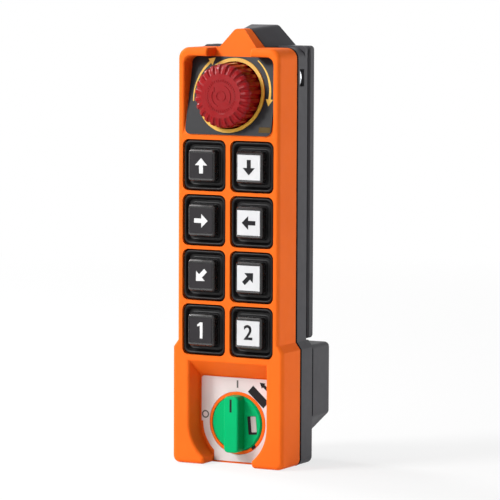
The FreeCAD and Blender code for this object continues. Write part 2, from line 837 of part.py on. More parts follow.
def make_stop_label():
    body = new_body("stop_label")
    foot = "panel_foot + 2 * fit_gap"
    head = "panel_head - fit_gap"
    beam(body, "label", [[(panel_depth_at(foot) + " - label_thick", foot), (panel_depth_at(foot), foot),
                          (panel_depth_at(head), head), (panel_depth_at(head) + " - label_thick", head)]],
         "label_width")

    def corner(edge):
        return runs(edge, "y")

    dress(body, "Fillet", "label_corners", "label_corner", corner)
    well(body, "label_hole", [circle("0", "stop_height", "collar_bore")], "-over_cut", "board_depth")
    well(body, "label_window", [centred("window_across", "window_height", "window_wide + 2 * slide_gap",
                                        "window_tall + 2 * slide_gap")], "-over_cut", "panel_depth")


def make_indicator_window():
    body = new_body("indicator_window")
    low_z = "window_height - window_tall / 2"
    high_z = "window_height + window_tall / 2"
    ahead = "-label_thick - over_cut"
    left = "window_across - window_wide / 2"
    right = "window_across + window_wide / 2"
    slab(body, "lens", [rectangle(left, right, low_z, high_z)], "-label_thick", "window_deep")
    channel(body, "lens_face", [[(ahead, low_z), (panel_depth_at(low_z) + " - label_thick", low_z),
                                 (panel_depth_at(high_z) + " - label_thick", high_z), (ahead, high_z)]],
            "2 * lower_width")


def make_stop():
    """The emergency stop: fixed collar and block, sliding washer and spring, turning knob and stem."""
    collar = new_body("stop_collar")
    bore = "knob_skirt + fit_gap"
    slab(collar, "tube", [circle("0", "stop_height", "collar_outer"), circle("0", "stop_height", bore)],
         "-knob_reach", "board_depth")
    ahead = "-knob_reach - over_cut"
    low_z = "stop_height - collar_outer - over_cut"
    high_z = "stop_height + collar_outer + over_cut"
    rise = " - label_thick - collar_proud"
    tilted_face = [(ahead, low_z), (panel_depth_at(low_z) + rise, low_z),
                   (panel_depth_at(high_z) + rise, high_z), (ahead, high_z)]
    channel(collar, "tilted_face", [tilted_face], "2 * (collar_outer + over_cut)")

    knob = new_body("stop_knob")
    inner_face = "knob_wall - knob_reach"
    socket = inner_face + " + over_cut"
    crown_edge = "knob_skirt - knob_taper"
    turned(knob, "mushroom", [("dish_deep - knob_reach", "0"),
                              ("dish_deep - knob_reach", "knob_face - dish_rim - dish_slope"),
                              ("-knob_reach", "knob_face - dish_rim"), ("-knob_reach", "knob_face"),
                              ("crown_drop - knob_reach", crown_edge),
                              ("knob_tail", "knob_skirt"), ("knob_tail", "knob_skirt - knob_wall"),
                              (inner_face + " + crown_drop", crown_edge + " - knob_wall - flute_round"),
                              (inner_face + " + crown_drop", "knob_hub"), ("0", "knob_hub"),
                              ("0", "stem_bore"), (socket, "stem_bore"), (socket, "0")],
           "stop_height")

    def crown_rim(edge):
        box = edge.BoundBox
        return near(box.YMax, "crown_drop - knob_reach") and near(box.ZLength / 2, crown_edge)

    dress(knob, "Fillet", "crown_round", "crown_round", crown_rim)
    add_flutes(knob)

    stem = new_body("stop_stem")
    slab(stem, "rod", [circle("0", "stop_height", "stem_round")], socket, "stem_tail")

    washer = new_body("stop_washer")
    slab(washer, "ring", [circle("0", "stop_height", "knob_hub"),
                          circle("0", "stop_height", "stem_bore")], "slide_gap", "washer_thick")

    block = new_body("stop_switch_block")
    slab(block, "drum", [circle("0", "stop_height", "block_round")], "block_front", "board_depth")
    well(block, "stem_bore", [circle("0", "stop_height", "stem_bore")], "block_front - over_cut",
         "stem_tail + stop_travel + fit_gap")

    make_stop_spring()


def add_flutes(knob):
    """Finger flutes: a round groove over the crown, round the shoulder and down the skirt, repeated."""
    doc.recompute()
    before = knob.Tip.Shape.Volume
    start = ("-knob_reach - flute_lift", "knob_face - flute_start")
    end = ("knob_tail", "knob_skirt - flute_sink")
    path = draw_bend(knob, "flute_path", start, "flute_lean", "flute_bend", end)
    section = draw(knob, "flute_section", "XY_Plane", [circle("0", start[0], "flute_round")],
                   "stop_height + " + start[1])
    doc.recompute()
    groove = knob.newObject("PartDesign::SubtractivePipe", "flute")
    groove.Profile = section
    groove.Spine = (path, ["Edge1", "Edge2", "Edge3"])
    finish_cut(knob, groove, before)
    pattern = knob.newObject("PartDesign::PolarPattern", "flutes")
    pattern.Originals = [groove]
    axis_sketch = next(item for item in knob.Group if item.Label == "mushroom_profile")
    pattern.Axis = (axis_sketch, ["H_Axis"])
    pattern.Angle = 360
    pattern.setExpression("Occurrences", bound("flute_count"))
    finish_cut(knob, pattern, groove.Shape.Volume)


def draw_bend(body, name, start, lean, bend, end):
    """A path of (depth, radius) about the stop's axis: a leaning run, a bend and a run to the back."""
    sketch = draw(body, name, "YZ_Plane", [], "0", "stop_height")
    lean_angle = math.radians(value(lean))
    radius = value(bend)
    first = FreeCAD.Vector(value(start[0]), value(start[1]), 0)
    last = FreeCAD.Vector(value(end[0]), value(end[1]), 0)
    corner = FreeCAD.Vector(first.x + (last.y - first.y) * math.tan(lean_angle), last.y, 0)
    cut_back = radius * math.tan(math.radians(45) - lean_angle / 2)
    enters = corner - FreeCAD.Vector(math.sin(lean_angle), math.cos(lean_angle), 0) * cut_back
    leaves = corner + FreeCAD.Vector(cut_back, 0, 0)
    centre = leaves - FreeCAD.Vector(0, radius, 0)
    upright = FreeCAD.Vector(0, 0, 1)
    arc = Part.ArcOfCircle(Part.Circle(centre, upright, radius), math.pi / 2, math.pi - lean_angle)
    rise = sketch.addGeometry(Part.LineSegment(first, enters), False)
    turn = sketch.addGeometry(arc, False)
    run = sketch.addGeometry(Part.LineSegment(leaves, last), False)
    sketch.addConstraint(Sketcher.Constraint("Tangent", rise, 2, turn, 2))
    sketch.addConstraint(Sketcher.Constraint("Tangent", turn, 1, run, 1))
    sketch.addConstraint(Sketcher.Constraint("Horizontal", run))
    pin(sketch, rise, 1, *start)
    pin(sketch, run, 2, *end)
    for kind, formula, args in (("Radius", bend, (turn, radius)),
                                ("Angle", "(90 - %s) * 1 deg" % lean, (rise, math.pi / 2 - lean_angle))):
        index = sketch.addConstraint(Sketcher.Constraint(kind, *args))
        sketch.renameConstraint(index, "%s_of_bend" % kind)
        sketch.setExpression("Constraints.%s_of_bend" % kind, bound(formula))
    return sketch


def make_stop_spring():
    """The return spring between the washer and the switch block: a round wire wound along a helix."""
    spring = new_body("stop_spring")
    section = draw(spring, "wire_section", "YZ_Plane", [circle(
        "washer_thick + spring_wire / 2", "(stem_round + knob_hub) / 2", "spring_wire / 2")],
        "0", "stop_height")
    doc.recompute()
    coil = spring.newObject("PartDesign::AdditiveHelix", "coil")
    coil.Profile = section
    coil.ReferenceAxis = (section, ["H_Axis"])
    coil.Mode = "height-turns-angle"
    coil.setExpression("Height", bound("block_front - washer_thick - spring_wire"))
    coil.setExpression("Turns", bound("spring_turns"))
    spring.Tip = coil


def make_keypad_mat():
    """One silicone sheet behind the front wall, with a raised boot through each aperture."""
    body = new_body("keypad_mat")
    front = "shell_wall"
    back = "shell_wall + mat_thick"
    last_row = "top_row - %d * row_pitch" % (BUTTON_ROWS - 1)
    sheet_outline = strip("column_pitch + aperture_wide + 2 * mat_margin", last_row + " - aperture_tall / 2",
                          "top_row + aperture_tall / 2 + mat_margin")
    slab(body, "sheet", [sheet_outline], front, back)
    slab(body, "boot_steps", at_buttons("aperture_wide - 2 * fit_gap", "aperture_tall - 2 * fit_gap"),
         "boot_sink", front)

    def step_corner(edge):
        return runs(edge, "y") and near(edge.BoundBox.YMin, "boot_sink")

    dress(body, "Fillet", "step_corners", "aperture_corner - fit_gap", step_corner)
    rings = at_buttons("aperture_wide - 2 * fit_gap - 2 * boot_step",
                       "aperture_tall - 2 * fit_gap - 2 * boot_step")
    slab(body, "boot_rings", rings, "-boot_proud", "boot_sink")

    def ring_corner(edge):
        return runs(edge, "y") and near(edge.BoundBox.YMin, "-boot_proud")

    dress(body, "Fillet", "ring_corners", "aperture_corner - fit_gap", ring_corner)

    def ring_crest(edge):
        return near(edge.BoundBox.YMax, "-boot_proud")

    dress(body, "Fillet", "ring_crests", "boot_crest", ring_crest)
    well(body, "cap_openings", at_buttons("cap_wide + 2 * fit_gap", "cap_tall + 2 * fit_gap"),
         "-boot_proud - over_cut", back + " + over_cut")

    def opening_corner(edge):
        return runs(edge, "y") and edge.BoundBox.YLength > value("mat_thick")

    dress(body, "Fillet", "opening_corners", "cap_corner", opening_corner)
    well(body, "troughs", at_buttons("cap_wide + 2 * boot_ring", "cap_tall + 2 * boot_ring"),
         "-boot_proud - over_cut", "boot_sink")
    well(body, "post_holes", at_posts("post_round + fit_gap"), "boot_sink", back + " + over_cut")


def make_buttons():
    for name, across, height in button_places():
        make_cap(name, across, height)
        legend = new_body("button_legend_" + name)
        slab(legend, "insert", [centred(across, height, "legend_wide", "legend_tall")], "-cap_reach",
             "legend_thick - cap_reach")


def make_cap(name, across, height):
    """A cap with a seat for its legend, a lip that the mat holds back, and a stem into its switch."""
    cap = new_body("button_cap_" + name)
    lip_front = "shell_wall + mat_thick + fit_gap"
    slab(cap, "block", [centred(across, height, "cap_wide", "cap_tall")], "-cap_reach", lip_front)

    def corner(edge):
        return runs(edge, "y")

    dress(cap, "Fillet", "corners", "cap_corner", corner)

    def front_rim(edge):
        return near(edge.BoundBox.YMax, "-cap_reach")

    dress(cap, "Chamfer", "front_bevel", "cap_bevel", front_rim)
    slab(cap, "lip", [centred(across, height, "cap_wide + 2 * cap_lip", "cap_tall + 2 * cap_lip")],
         lip_front, lip_front + " + lip_thick")
    slab(cap, "stem", [circle(across, height, "button_stem")], lip_front + " + lip_thick",
         "board_depth - switch_tall + stem_entry")
    well(cap, "legend_seat", [centred(across, height, "legend_wide", "legend_tall")],
         "-cap_reach - over_cut", "legend_thick - cap_reach")


def make_boards():
    switches = new_body("button_switches")
    front = "board_depth - switch_tall"
    slab(switches, "cases", at_buttons("switch_side", "switch_side"), front, "board_depth")
    well(switches, "stem_bores", [circle(across, height, "button_stem + slide_gap")
                                  for name, across, height in button_places()], front + " - over_cut",
         front + " + stem_entry + button_travel + fit_gap")

    board = new_body("main_board")
    back = "board_depth + board_thick"
    slab(board, "laminate", [strip("board_width", "board_foot", "board_head")], "board_depth", back)
    notch_low = "mid_screw_across - boss_round - fit_gap"
    notch_centre = "(%s + board_width) / 2" % notch_low
    notches = [centred("%s(%s)" % (sign, notch_centre), post_heights()[1], "board_width - (%s)" % notch_low,
                       "2 * (boss_round + fit_gap)") for sign in ("", "-")]
    well(board, "boss_notches", notches, "board_depth - over_cut", back + " + over_cut")
    well(board, "screw_holes", at_posts("screw_bore"), "board_depth - over_cut", back + " + over_cut")

    screws = new_body("board_screws")
    slab(screws, "shanks", at_posts("screw_round"), "board_depth - screw_grip", back)
    slab(screws, "heads", at_posts("screw_head"), back, back + " + screw_head_thick / 2")

    radio = new_body("radio_module")
    face = back + " + header_tall"
    shield_back = face + " + radio_thick"
    header_foot = "radio_foot + header_inset"
    header_head = header_foot + " + header_wide"
    slab(radio, "card", [strip("radio_wide", "radio_foot", "radio_head")], face, shield_back)
    slab(radio, "header", [strip("header_long", header_foot, header_head)], back, face)
    slab(radio, "shield", [strip("radio_wide - 2 * shield_inset", header_head + " + shield_inset",
                                 "radio_head - shield_inset")], shield_back, shield_back + " + shield_tall")

    aerial = new_body("aerial")
    coil_depth = face + " + radio_thick / 2"
    sketch = draw(aerial, "coil_section", "YZ_Plane", [circle(coil_depth, "radio_head + aerial_round",
                                                              "aerial_round")])
    coil = aerial.newObject("PartDesign::Pad", "coil")
    coil.Profile = sketch
    coil.SideType = "Symmetric"
    coil.setExpression("Length", bound("aerial_long"))
    aerial.Tip = coil


def make_key_switch():
    floor = "key_plate_depth + key_plate_thick"
    plate = new_body("key_plate")
    slab(plate, "sheet", [strip("key_plate_wide", "key_height", "recess_head - fit_gap")],
         "key_plate_depth", floor)

    def head_corner(edge):
        return runs(edge, "y") and edge.CenterOfMass.z > value("recess_head - 2 * fit_gap")

    dress(plate, "Fillet", "head_corners", "key_plate_corner", head_corner)
    slab(plate, "foot", [circle("0", "key_height", "min(key_plate_wide / 2; key_height - key_plate_lift)")],
         "key_plate_depth", floor)
    slab(plate, "tongue", [strip("recess_mouth - 2 * fit_gap", "key_plate_lift", "key_height")],
         "key_plate_depth", floor)
    well(plate, "ring_hole", [circle("0", "key_height", "key_plate_hole")], "key_plate_depth - over_cut",
         floor + " + over_cut")

    disc_front = "key_plate_depth - key_disc_proud"
    disc_back = floor + " + shell_wall - slide_gap"
    knob = new_body("key_knob")
    grip_front = "key_plate_depth - key_grip_reach"
    slab(knob, "grip", [centred("0", "key_height", "key_grip_wide", "key_grip_tall")], grip_front,
         disc_front + " + post_root")

    def grip_end(edge):
        return runs(edge, "y")

    dress(knob, "Fillet", "grip_ends", "key_grip_corner", grip_end)

    def grip_rim(edge):
        return near(edge.CenterOfMass.y, grip_front)

    dress(knob, "Fillet", "grip_rim", "key_grip_round", grip_rim)
    turned(knob, "disc", [(disc_front, "0"), (disc_front, "key_disc - key_disc_proud"),
                          (disc_front + " + key_disc_proud", "key_disc"), (disc_back, "key_disc"),
                          (disc_back, "0")], "key_height")
    pointer_z = "key_height + key_grip_tall / 2 - pointer_tall / 2 - pointer_inset"
    seat = [centred("0", pointer_z, "pointer_wide", "pointer_tall")]
    well(knob, "pointer_seat", seat, grip_front + " - over_cut", grip_front + " + pointer_thick")
    pointer = new_body("key_pointer")
    slab(pointer, "insert", seat, grip_front, grip_front + " + pointer_thick")

    rotor = new_body("key_rotor")
    slab(rotor, "drum", [circle("0", "key_height", "rotor_round")], disc_back, disc_back + " + rotor_long")

    block = new_body("key_switch_block")
    block_front = floor + " + shell_wall"
    slab(block, "case", [centred("0", "key_height", "key_block_side", "key_block_side")], block_front,
         block_front + " + key_block_deep")
    well(block, "rotor_bore", [circle("0", "key_height", "rotor_round + slide_gap")],
         block_front + " - over_cut", disc_back + " + rotor_long + fit_gap")


def cover_outline(inset):
    """Front view of the battery cover, its lower corners cut at 45 degrees, drawn in by an inset."""
    half = "lower_width / 2 - (%s)" % inset
    cut = "cover_cut - (2 - sqrt(2)) * (%s)" % inset
    foot = "cover_foot + %s" % inset
    return mirrored_outline([("%s - (%s)" % (half, cut), foot), (half, "%s + %s" % (foot, cut)),
                             (half, "cover_head - (%s)" % inset)])


def make_battery():
    rim = "rear_back + seal_thick"
    cover = new_body("battery_cover")
    slab(cover, "box", [cover_outline("0")], rim, "cover_back")

    def outline_corner(edge):
        return runs(edge, "y")

    dress(cover, "Fillet", "outline_corners", "cover_corner", outline_corner)

    def back_edge(edge):
        return near(edge.BoundBox.YMin, "cover_back")

    dress(cover, "Fillet", "back_round", "cover_round", back_edge)
    well(cover, "compartment", [cover_outline("cover_wall")], "rear_back", "cover_back - cover_wall")
    slab(cover, "tabs", [cover_tab(sign, "0") for sign in ("", "-")], "rear_back - tab_long",
         rim + " + tab_root")
    root_tall = "tab_thick + post_root"
    root_middle = "cover_head - cover_wall + post_root - (%s) / 2" % root_tall
    roots = [centred("%s(lower_width / 4)" % sign, root_middle, "tab_wide", root_tall) for sign in ("", "-")]
    slab(cover, "tab_roots", roots, rim, rim + " + tab_root")
    screw_place = [circle("0", "cover_screw_height", "cover_screw_round + slide_gap")]
    seat = "cover_back - cover_screw_sink"
    well(cover, "screw_hole", screw_place, "cover_back - cover_wall - over_cut", "cover_back + over_cut")
    well(cover, "screw_seat", [circle("0", "cover_screw_height", "cover_screw_head + slide_gap")], seat,
         "cover_back + over_cut")

    seal = new_body("cover_seal")
    slab(seal, "sheet", [cover_outline("seal_inset")], "rear_back", rim + " - slide_gap")
    dress(seal, "Fillet", "outline_corners", "cover_corner", outline_corner)
    well(seal, "window", [cover_outline("cover_wall - seal_inset")], "rear_back - over_cut", rim)

    screw = new_body("cover_screw")
    slab(screw, "shank", [circle("0", "cover_screw_height", "cover_screw_round")],
         "rear_back + over_cut + fit_gap", seat)
    slab(screw, "head", [circle("0", "cover_screw_height", "cover_screw_head")], seat,
         "cover_back - slide_gap")
    slot = centred("0", "cover_screw_height", "2 * cover_screw_head + over_cut", "coin_slot_wide")
    well(screw, "coin_slot", [slot], "cover_back - coin_slot_deep", "cover_back + over_cut")

    make_cells()


def make_cells():
    body_long = "cell_long - cell_nub"
    for name, height, sign in (("upper", "cell_upper", ""), ("lower", "cell_lower", "-")):
        cell = new_body("battery_cell_" + name)
        centre = "%s(cell_nub / -2)" % sign
        can = draw(cell, "can_profile", "YZ_Plane", [circle("cell_depth", height, "cell_round")],
                   "%s - (%s) / 2" % (centre, body_long))
        pad = cell.newObject("PartDesign::Pad", "can")
        pad.Profile = can
        pad.setExpression("Length", bound(body_long))
        cell.Tip = pad
        nub = draw(cell, "nub_profile", "YZ_Plane", [circle("cell_depth", height, "cell_nub_round")])
        tip = cell.newObject("PartDesign::Pad", "nub")
        tip.Profile = nub
        tip.Reversed = sign == "-"
        tip.setExpression("Length", bound("cell_long / 2"))
        cell.Tip = tip

    tray = new_body("battery_tray")
    inner_end = "cell_long / 2 + contact_thick + slide_gap"
    outer_end = inner_end + " + tray_end"
    low_z = "cell_lower - cell_round + tray_inset"
    high_z = "cell_upper + cell_round - tray_inset"
    slab(tray, "bed", [rectangle("-(%s)" % inner_end, inner_end, low_z, high_z)], "rear_back",
         "rear_back + tray_thick")
    channel(tray, "cradles", [circle("cell_depth", height, "cell_round + fit_gap / 2")
                              for height in ("cell_upper", "cell_lower")], "2 * (%s)" % outer_end)
    ends = [rectangle(inner_end, outer_end, low_z, high_z),
            rectangle("-(%s)" % outer_end, "-(%s)" % inner_end, low_z, high_z)]
    slab(tray, "end_walls", ends, "rear_back", "cell_depth + cell_round / 2")

    contacts = new_body("battery_contacts")
    inside = "cell_long / 2 + slide_gap"
    outside = "cell_long / 2 + contact_thick"
    slab(contacts, "strips", [
        rectangle(inside, outside, "cell_upper - cell_round / 2", "cell_upper + cell_round / 2"),
        rectangle(inside, outside, "cell_lower - cell_round / 2", "cell_lower + cell_round / 2"),
        rectangle("-(%s)" % outside, "-(%s)" % inside, "cell_lower - cell_round / 2",
                  "cell_upper + cell_round / 2")],
        "cell_depth - cell_round / 2", "cell_depth + cell_round / 2")


make_front_housing()
make_rear_housing()
make_back_plate()
make_gasket()
make_housing_screws()
make_strap_bars()
make_stop_label()
make_indicator_window()
make_stop()
make_keypad_mat()
make_buttons()
make_boards()
make_key_switch()
make_battery()
doc.recompute()

for item in doc.Objects:
    if "Invalid" in item.State or "Error" in item.State:
        raise RuntimeError("%s is not built: %s" % (item.Label, item.State))
for part in sub_parts:
    if part.Shape.isNull() or not part.Shape.isValid() or not part.Shape.Solids:
        raise RuntimeError("%s has no valid solid" % part.Label)

os.makedirs("parts", exist_ok=True)
for part in sub_parts:
    part.Shape.exportStep(os.path.join("parts", part.Label + ".step"))
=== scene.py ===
"""Looks of a hand-held pushbutton transmitter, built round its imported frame, in metres.

+X is to the right seen from the button side, +Y to the back and +Z up along the handset.
"""
import math
import bmesh
import bpy
from mathutils import Matrix, Vector


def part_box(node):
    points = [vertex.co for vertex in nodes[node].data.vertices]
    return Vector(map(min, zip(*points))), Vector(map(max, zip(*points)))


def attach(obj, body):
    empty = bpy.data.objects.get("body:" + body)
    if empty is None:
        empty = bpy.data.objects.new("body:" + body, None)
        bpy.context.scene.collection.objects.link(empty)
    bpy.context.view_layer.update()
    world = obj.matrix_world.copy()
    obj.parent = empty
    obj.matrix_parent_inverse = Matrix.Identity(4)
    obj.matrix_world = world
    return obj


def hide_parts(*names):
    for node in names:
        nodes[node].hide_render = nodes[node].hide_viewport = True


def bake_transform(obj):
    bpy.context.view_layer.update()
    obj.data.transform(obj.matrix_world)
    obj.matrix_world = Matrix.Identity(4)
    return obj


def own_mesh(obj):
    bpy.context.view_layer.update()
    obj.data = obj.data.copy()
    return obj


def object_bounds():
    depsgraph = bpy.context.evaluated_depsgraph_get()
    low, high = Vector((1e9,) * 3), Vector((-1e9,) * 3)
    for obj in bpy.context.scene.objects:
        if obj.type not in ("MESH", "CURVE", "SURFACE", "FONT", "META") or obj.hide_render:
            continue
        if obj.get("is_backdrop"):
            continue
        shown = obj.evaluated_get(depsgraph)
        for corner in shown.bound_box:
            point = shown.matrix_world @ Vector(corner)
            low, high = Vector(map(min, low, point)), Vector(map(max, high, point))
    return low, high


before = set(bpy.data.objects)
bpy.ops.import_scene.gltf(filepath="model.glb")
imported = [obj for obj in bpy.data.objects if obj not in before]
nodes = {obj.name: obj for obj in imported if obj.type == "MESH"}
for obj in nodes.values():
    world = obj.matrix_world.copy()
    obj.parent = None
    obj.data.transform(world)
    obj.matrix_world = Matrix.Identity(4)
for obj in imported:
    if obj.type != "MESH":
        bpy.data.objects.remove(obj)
cad_low, cad_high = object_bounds()


def link(tree, start, end):
    """Join one shader node's output to another's input."""
    tree.links.new(start, end)


def noise(tree, scale, detail):
    """Noise on the piece's own coordinates."""
    place = tree.nodes.new("ShaderNodeTexCoord")
    texture = tree.nodes.new("ShaderNodeTexNoise")
    texture.inputs["Scale"].default_value = scale
    texture.inputs["Detail"].default_value = detail
    link(tree, place.outputs["Object"], texture.inputs["Vector"])
    return texture.outputs["Fac"]


def spread(tree, factor, span, result):
    """A number that goes from one end of a result to the other as a factor crosses a span."""
    ramp = tree.nodes.new("ShaderNodeMapRange")
    for name, value in zip(("From Min", "From Max", "To Min", "To Max"), (*span, *result)):
        ramp.inputs[name].default_value = value
    link(tree, factor, ramp.inputs["Value"])
    return ramp.outputs["Result"]


noise_span = (0.3, 0.7)


def tinted(tree, factor, one, other):
    """A colour that drifts between two tints with a noise."""
    mix = tree.nodes.new("ShaderNodeMix")
    mix.data_type = "RGBA"
    mix.inputs["A"].default_value = (*one, 1)
    mix.inputs["B"].default_value = (*other, 1)
    link(tree, spread(tree, factor, noise_span, (0, 1)), mix.inputs["Factor"])
    return mix.outputs["Result"]


def moulded(name, colour, shade, roughness, shine, grain, relief):
    """A moulded plastic, rubber or film: cloudy tint, uneven gloss and a fine grain."""
    cloud_scale, gloss_scale, gloss_swing, grain_strength = 45, 260, 0.05, 0.6
    material = bpy.data.materials.new(name)
    material.use_nodes = True
    tree = material.node_tree
    skin = tree.nodes["Principled BSDF"]
    link(tree, tinted(tree, noise(tree, cloud_scale, detail=3), colour, shade), skin.inputs["Base Color"])
    skin.inputs["Specular IOR Level"].default_value = shine
    gloss_span = (roughness - gloss_swing, roughness + gloss_swing)
    gloss = spread(tree, noise(tree, gloss_scale, detail=4), noise_span, gloss_span)
    link(tree, gloss, skin.inputs["Roughness"])
    bump = tree.nodes.new("ShaderNodeBump")
    bump.inputs["Strength"].default_value = grain_strength
    bump.inputs["Distance"].default_value = relief
    link(tree, noise(tree, grain, detail=2), bump.inputs["Height"])
    link(tree, bump.outputs["Normal"], skin.inputs["Normal"])
    return material


def clothe(material, *names):
    """Give CAD nodes a finish in place of their plain colour."""
    for name in names:
        nodes[name].data.materials.clear()
        nodes[name].data.materials.append(material)


orange_nylon = moulded("orange_nylon", colour=(0.9, 0.153, 0.014), shade=(0.87, 0.144, 0.0125),
                       roughness=0.56, shine=0.06, grain=2600, relief=0.00002)
clothe(orange_nylon, "front_housing")

# Rear housing, back plate and battery cover: dark grey glass-filled nylon of the same grain.
# The plate lies on the housing's back with a groove round it, the cover closes the battery bay.
grey_nylon = moulded("grey_nylon", colour=(0.072, 0.071, 0.077), shade=(0.06, 0.059, 0.065),
                     roughness=0.5, shine=0.1, grain=2600, relief=0.00002)
clothe(grey_nylon, "rear_housing", "back_plate", "battery_cover")

# Gasket and seal: soft black rubber sheets, clamped at the seam and under the battery cover.
# Round the seam a black bead stands a little proud and laps over both housings, flat where the handset
# stands: it is painted shade, a black band in place of the shadow in the gap between the housings,
# and its rubber has almost no gloss so that it reads as that shade.
black_rubber_and_seam_shade = moulded("black_rubber_and_seam_shade", colour=(0.004, 0.004, 0.0045), shade=(0.005, 0.0048, 0.0052),
                       roughness=0.6, shine=0.01, grain=900, relief=0.00001)
clothe(black_rubber_and_seam_shade, "housing_gasket", "cover_seal")
same_place = 1e-6
bead_root, bead_shoulder, bead_proud, bead_lap = -0.0004, 0.00006, 0.00014, 0.0003
foot_clear = 0.00002


def new_object(name, bm, material):
    """An object made from a finished bmesh, in place."""
    mesh = bpy.data.meshes.new(name)
    bm.to_mesh(mesh)
    bm.free()
    mesh.materials.append(material)
    piece = bpy.data.objects.new(name, mesh)
    bpy.context.scene.collection.objects.link(piece)
    return piece


def new_piece(name, bm, material, body):
    """An object made from a finished bmesh, in place, that rides on one body."""
    piece = new_object(name, bm, material)
    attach(piece, body)
    return piece


def outer_rim(sheet):
    """The front edge of a flat sheet's outer wall, in order: places and directions away from the sheet."""
    flat_tilt = 0.5
    walls = [face for face in sheet.faces if abs(face.normal.y) < flat_tilt]
    front = min(vert.co.y for vert in sheet.verts)
    edges = [edge for face in walls for edge in face.edges
             if all(abs(vert.co.y - front) < same_place for vert in edge.verts)]
    start = max((vert for edge in edges for vert in edge.verts), key=lambda vert: (vert.co.x, vert.co.z))
    rim = [start]
    edge = next(edge for edge in start.link_edges if edge in edges)
    while edge.other_vert(rim[-1]) is not start:
        rim.append(edge.other_vert(rim[-1]))
        edge = next(other for other in rim[-1].link_edges if other in edges and other is not edge)
    outward = [sum((face.normal for face in vert.link_faces if face in walls), Vector()) for vert in rim]
    return [vert.co.copy() for vert in rim], [away.normalized() for away in outward]


sheet = bmesh.new()
sheet.from_mesh(nodes["housing_gasket"].data)
bmesh.ops.remove_doubles(sheet, verts=sheet.verts, dist=same_place)
rim, outward = outer_rim(sheet)
sheet.free()
gasket_low, gasket_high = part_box("housing_gasket")
gasket_thick = gasket_high.y - gasket_low.y
bead_back = gasket_thick + bead_lap
bead_profile = [(bead_root, -bead_lap), (bead_shoulder, -bead_lap), (bead_proud, 0),
                (bead_proud, gasket_thick), (bead_shoulder, bead_back), (bead_root, bead_back)]
# The bead is painted shade: a black band along the seam in place of the shadow in its gap.
bead = bmesh.new()
rings = [[bead.verts.new(place + away * proud + Vector((0, depth, 0))) for place, away in zip(rim, outward)]
         for proud, depth in bead_profile]
for vert in bead.verts:
    vert.co.z = max(vert.co.z, cad_low.z + foot_clear)
for i, ring in enumerate(rings):
    for j, vert in enumerate(ring):
        bead.faces.new((vert, ring[j - 1], rings[i - 1][j - 1], rings[i - 1][j]))
bmesh.ops.recalc_face_normals(bead, faces=bead.faces)
new_piece("painted_seam_shade", bead, black_rubber_and_seam_shade, "housing")

# Strap staples: satin stainless wire, bent to a bow and moulded into a recess in each side, for a
# carrying strap. The same steel serves for the screws, washers and springs.
bright_steel, dull_steel = (0.62, 0.63, 0.65), (0.5, 0.51, 0.53)
steel_cloud, steel_grain, steel_gloss = 120, 1500, (0.22, 0.38)


def steel_tint(tree):
    """The uneven grey of drawn steel."""
    return tinted(tree, noise(tree, steel_cloud, detail=2), bright_steel, dull_steel)


def satin_steel():
    """Bare drawn steel with a satin gloss."""
    material = bpy.data.materials.new("satin_steel")
    material.use_nodes = True
    tree = material.node_tree
    skin = tree.nodes["Principled BSDF"]
    skin.inputs["Metallic"].default_value = 1
    link(tree, steel_tint(tree), skin.inputs["Base Color"])
    gloss = spread(tree, noise(tree, steel_grain, detail=3), noise_span, steel_gloss)
    link(tree, gloss, skin.inputs["Roughness"])
    return material


steel = satin_steel()
clothe(steel, "strap_bar_right", "strap_bar_left")

# Housing screws: six long steel pan-head screws with a cross recess, put in from the back through
# plate, rear housing and gasket into the front housing's bosses. Each pair is given by its distance
# from the middle, the back of its heads and its height.
screw_pairs = [(0.0225, 0.0157, 0.201), (0.0236, 0.0157, 0.08112), (0.025, 0.0101, 0.0065)]
screw_head, screw_head_thick, screw_shank = 0.0028, 0.002, 0.0015
screw_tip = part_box("housing_screws")[0].y


def of_kind(geometry, kind):
    """The vertices or the edges among what an operator made."""
    return [item for item in geometry if isinstance(item, kind)]


def edges_round(verts):
    """Every edge at some vertices, once each."""
    return list(dict.fromkeys(edge for vert in verts for edge in vert.link_edges))


def grown_loop(bm, edges):
    """Extrude a loop of edges in place; gives the new loop's vertices and edges."""
    made = bmesh.ops.extrude_edge_only(bm, edges=edges)["geom"]
    verts = of_kind(made, bmesh.types.BMVert)
    made_edges = of_kind(made, bmesh.types.BMEdge)
    return verts, [edge for edge in made_edges if all(vert in verts for vert in edge.verts)]


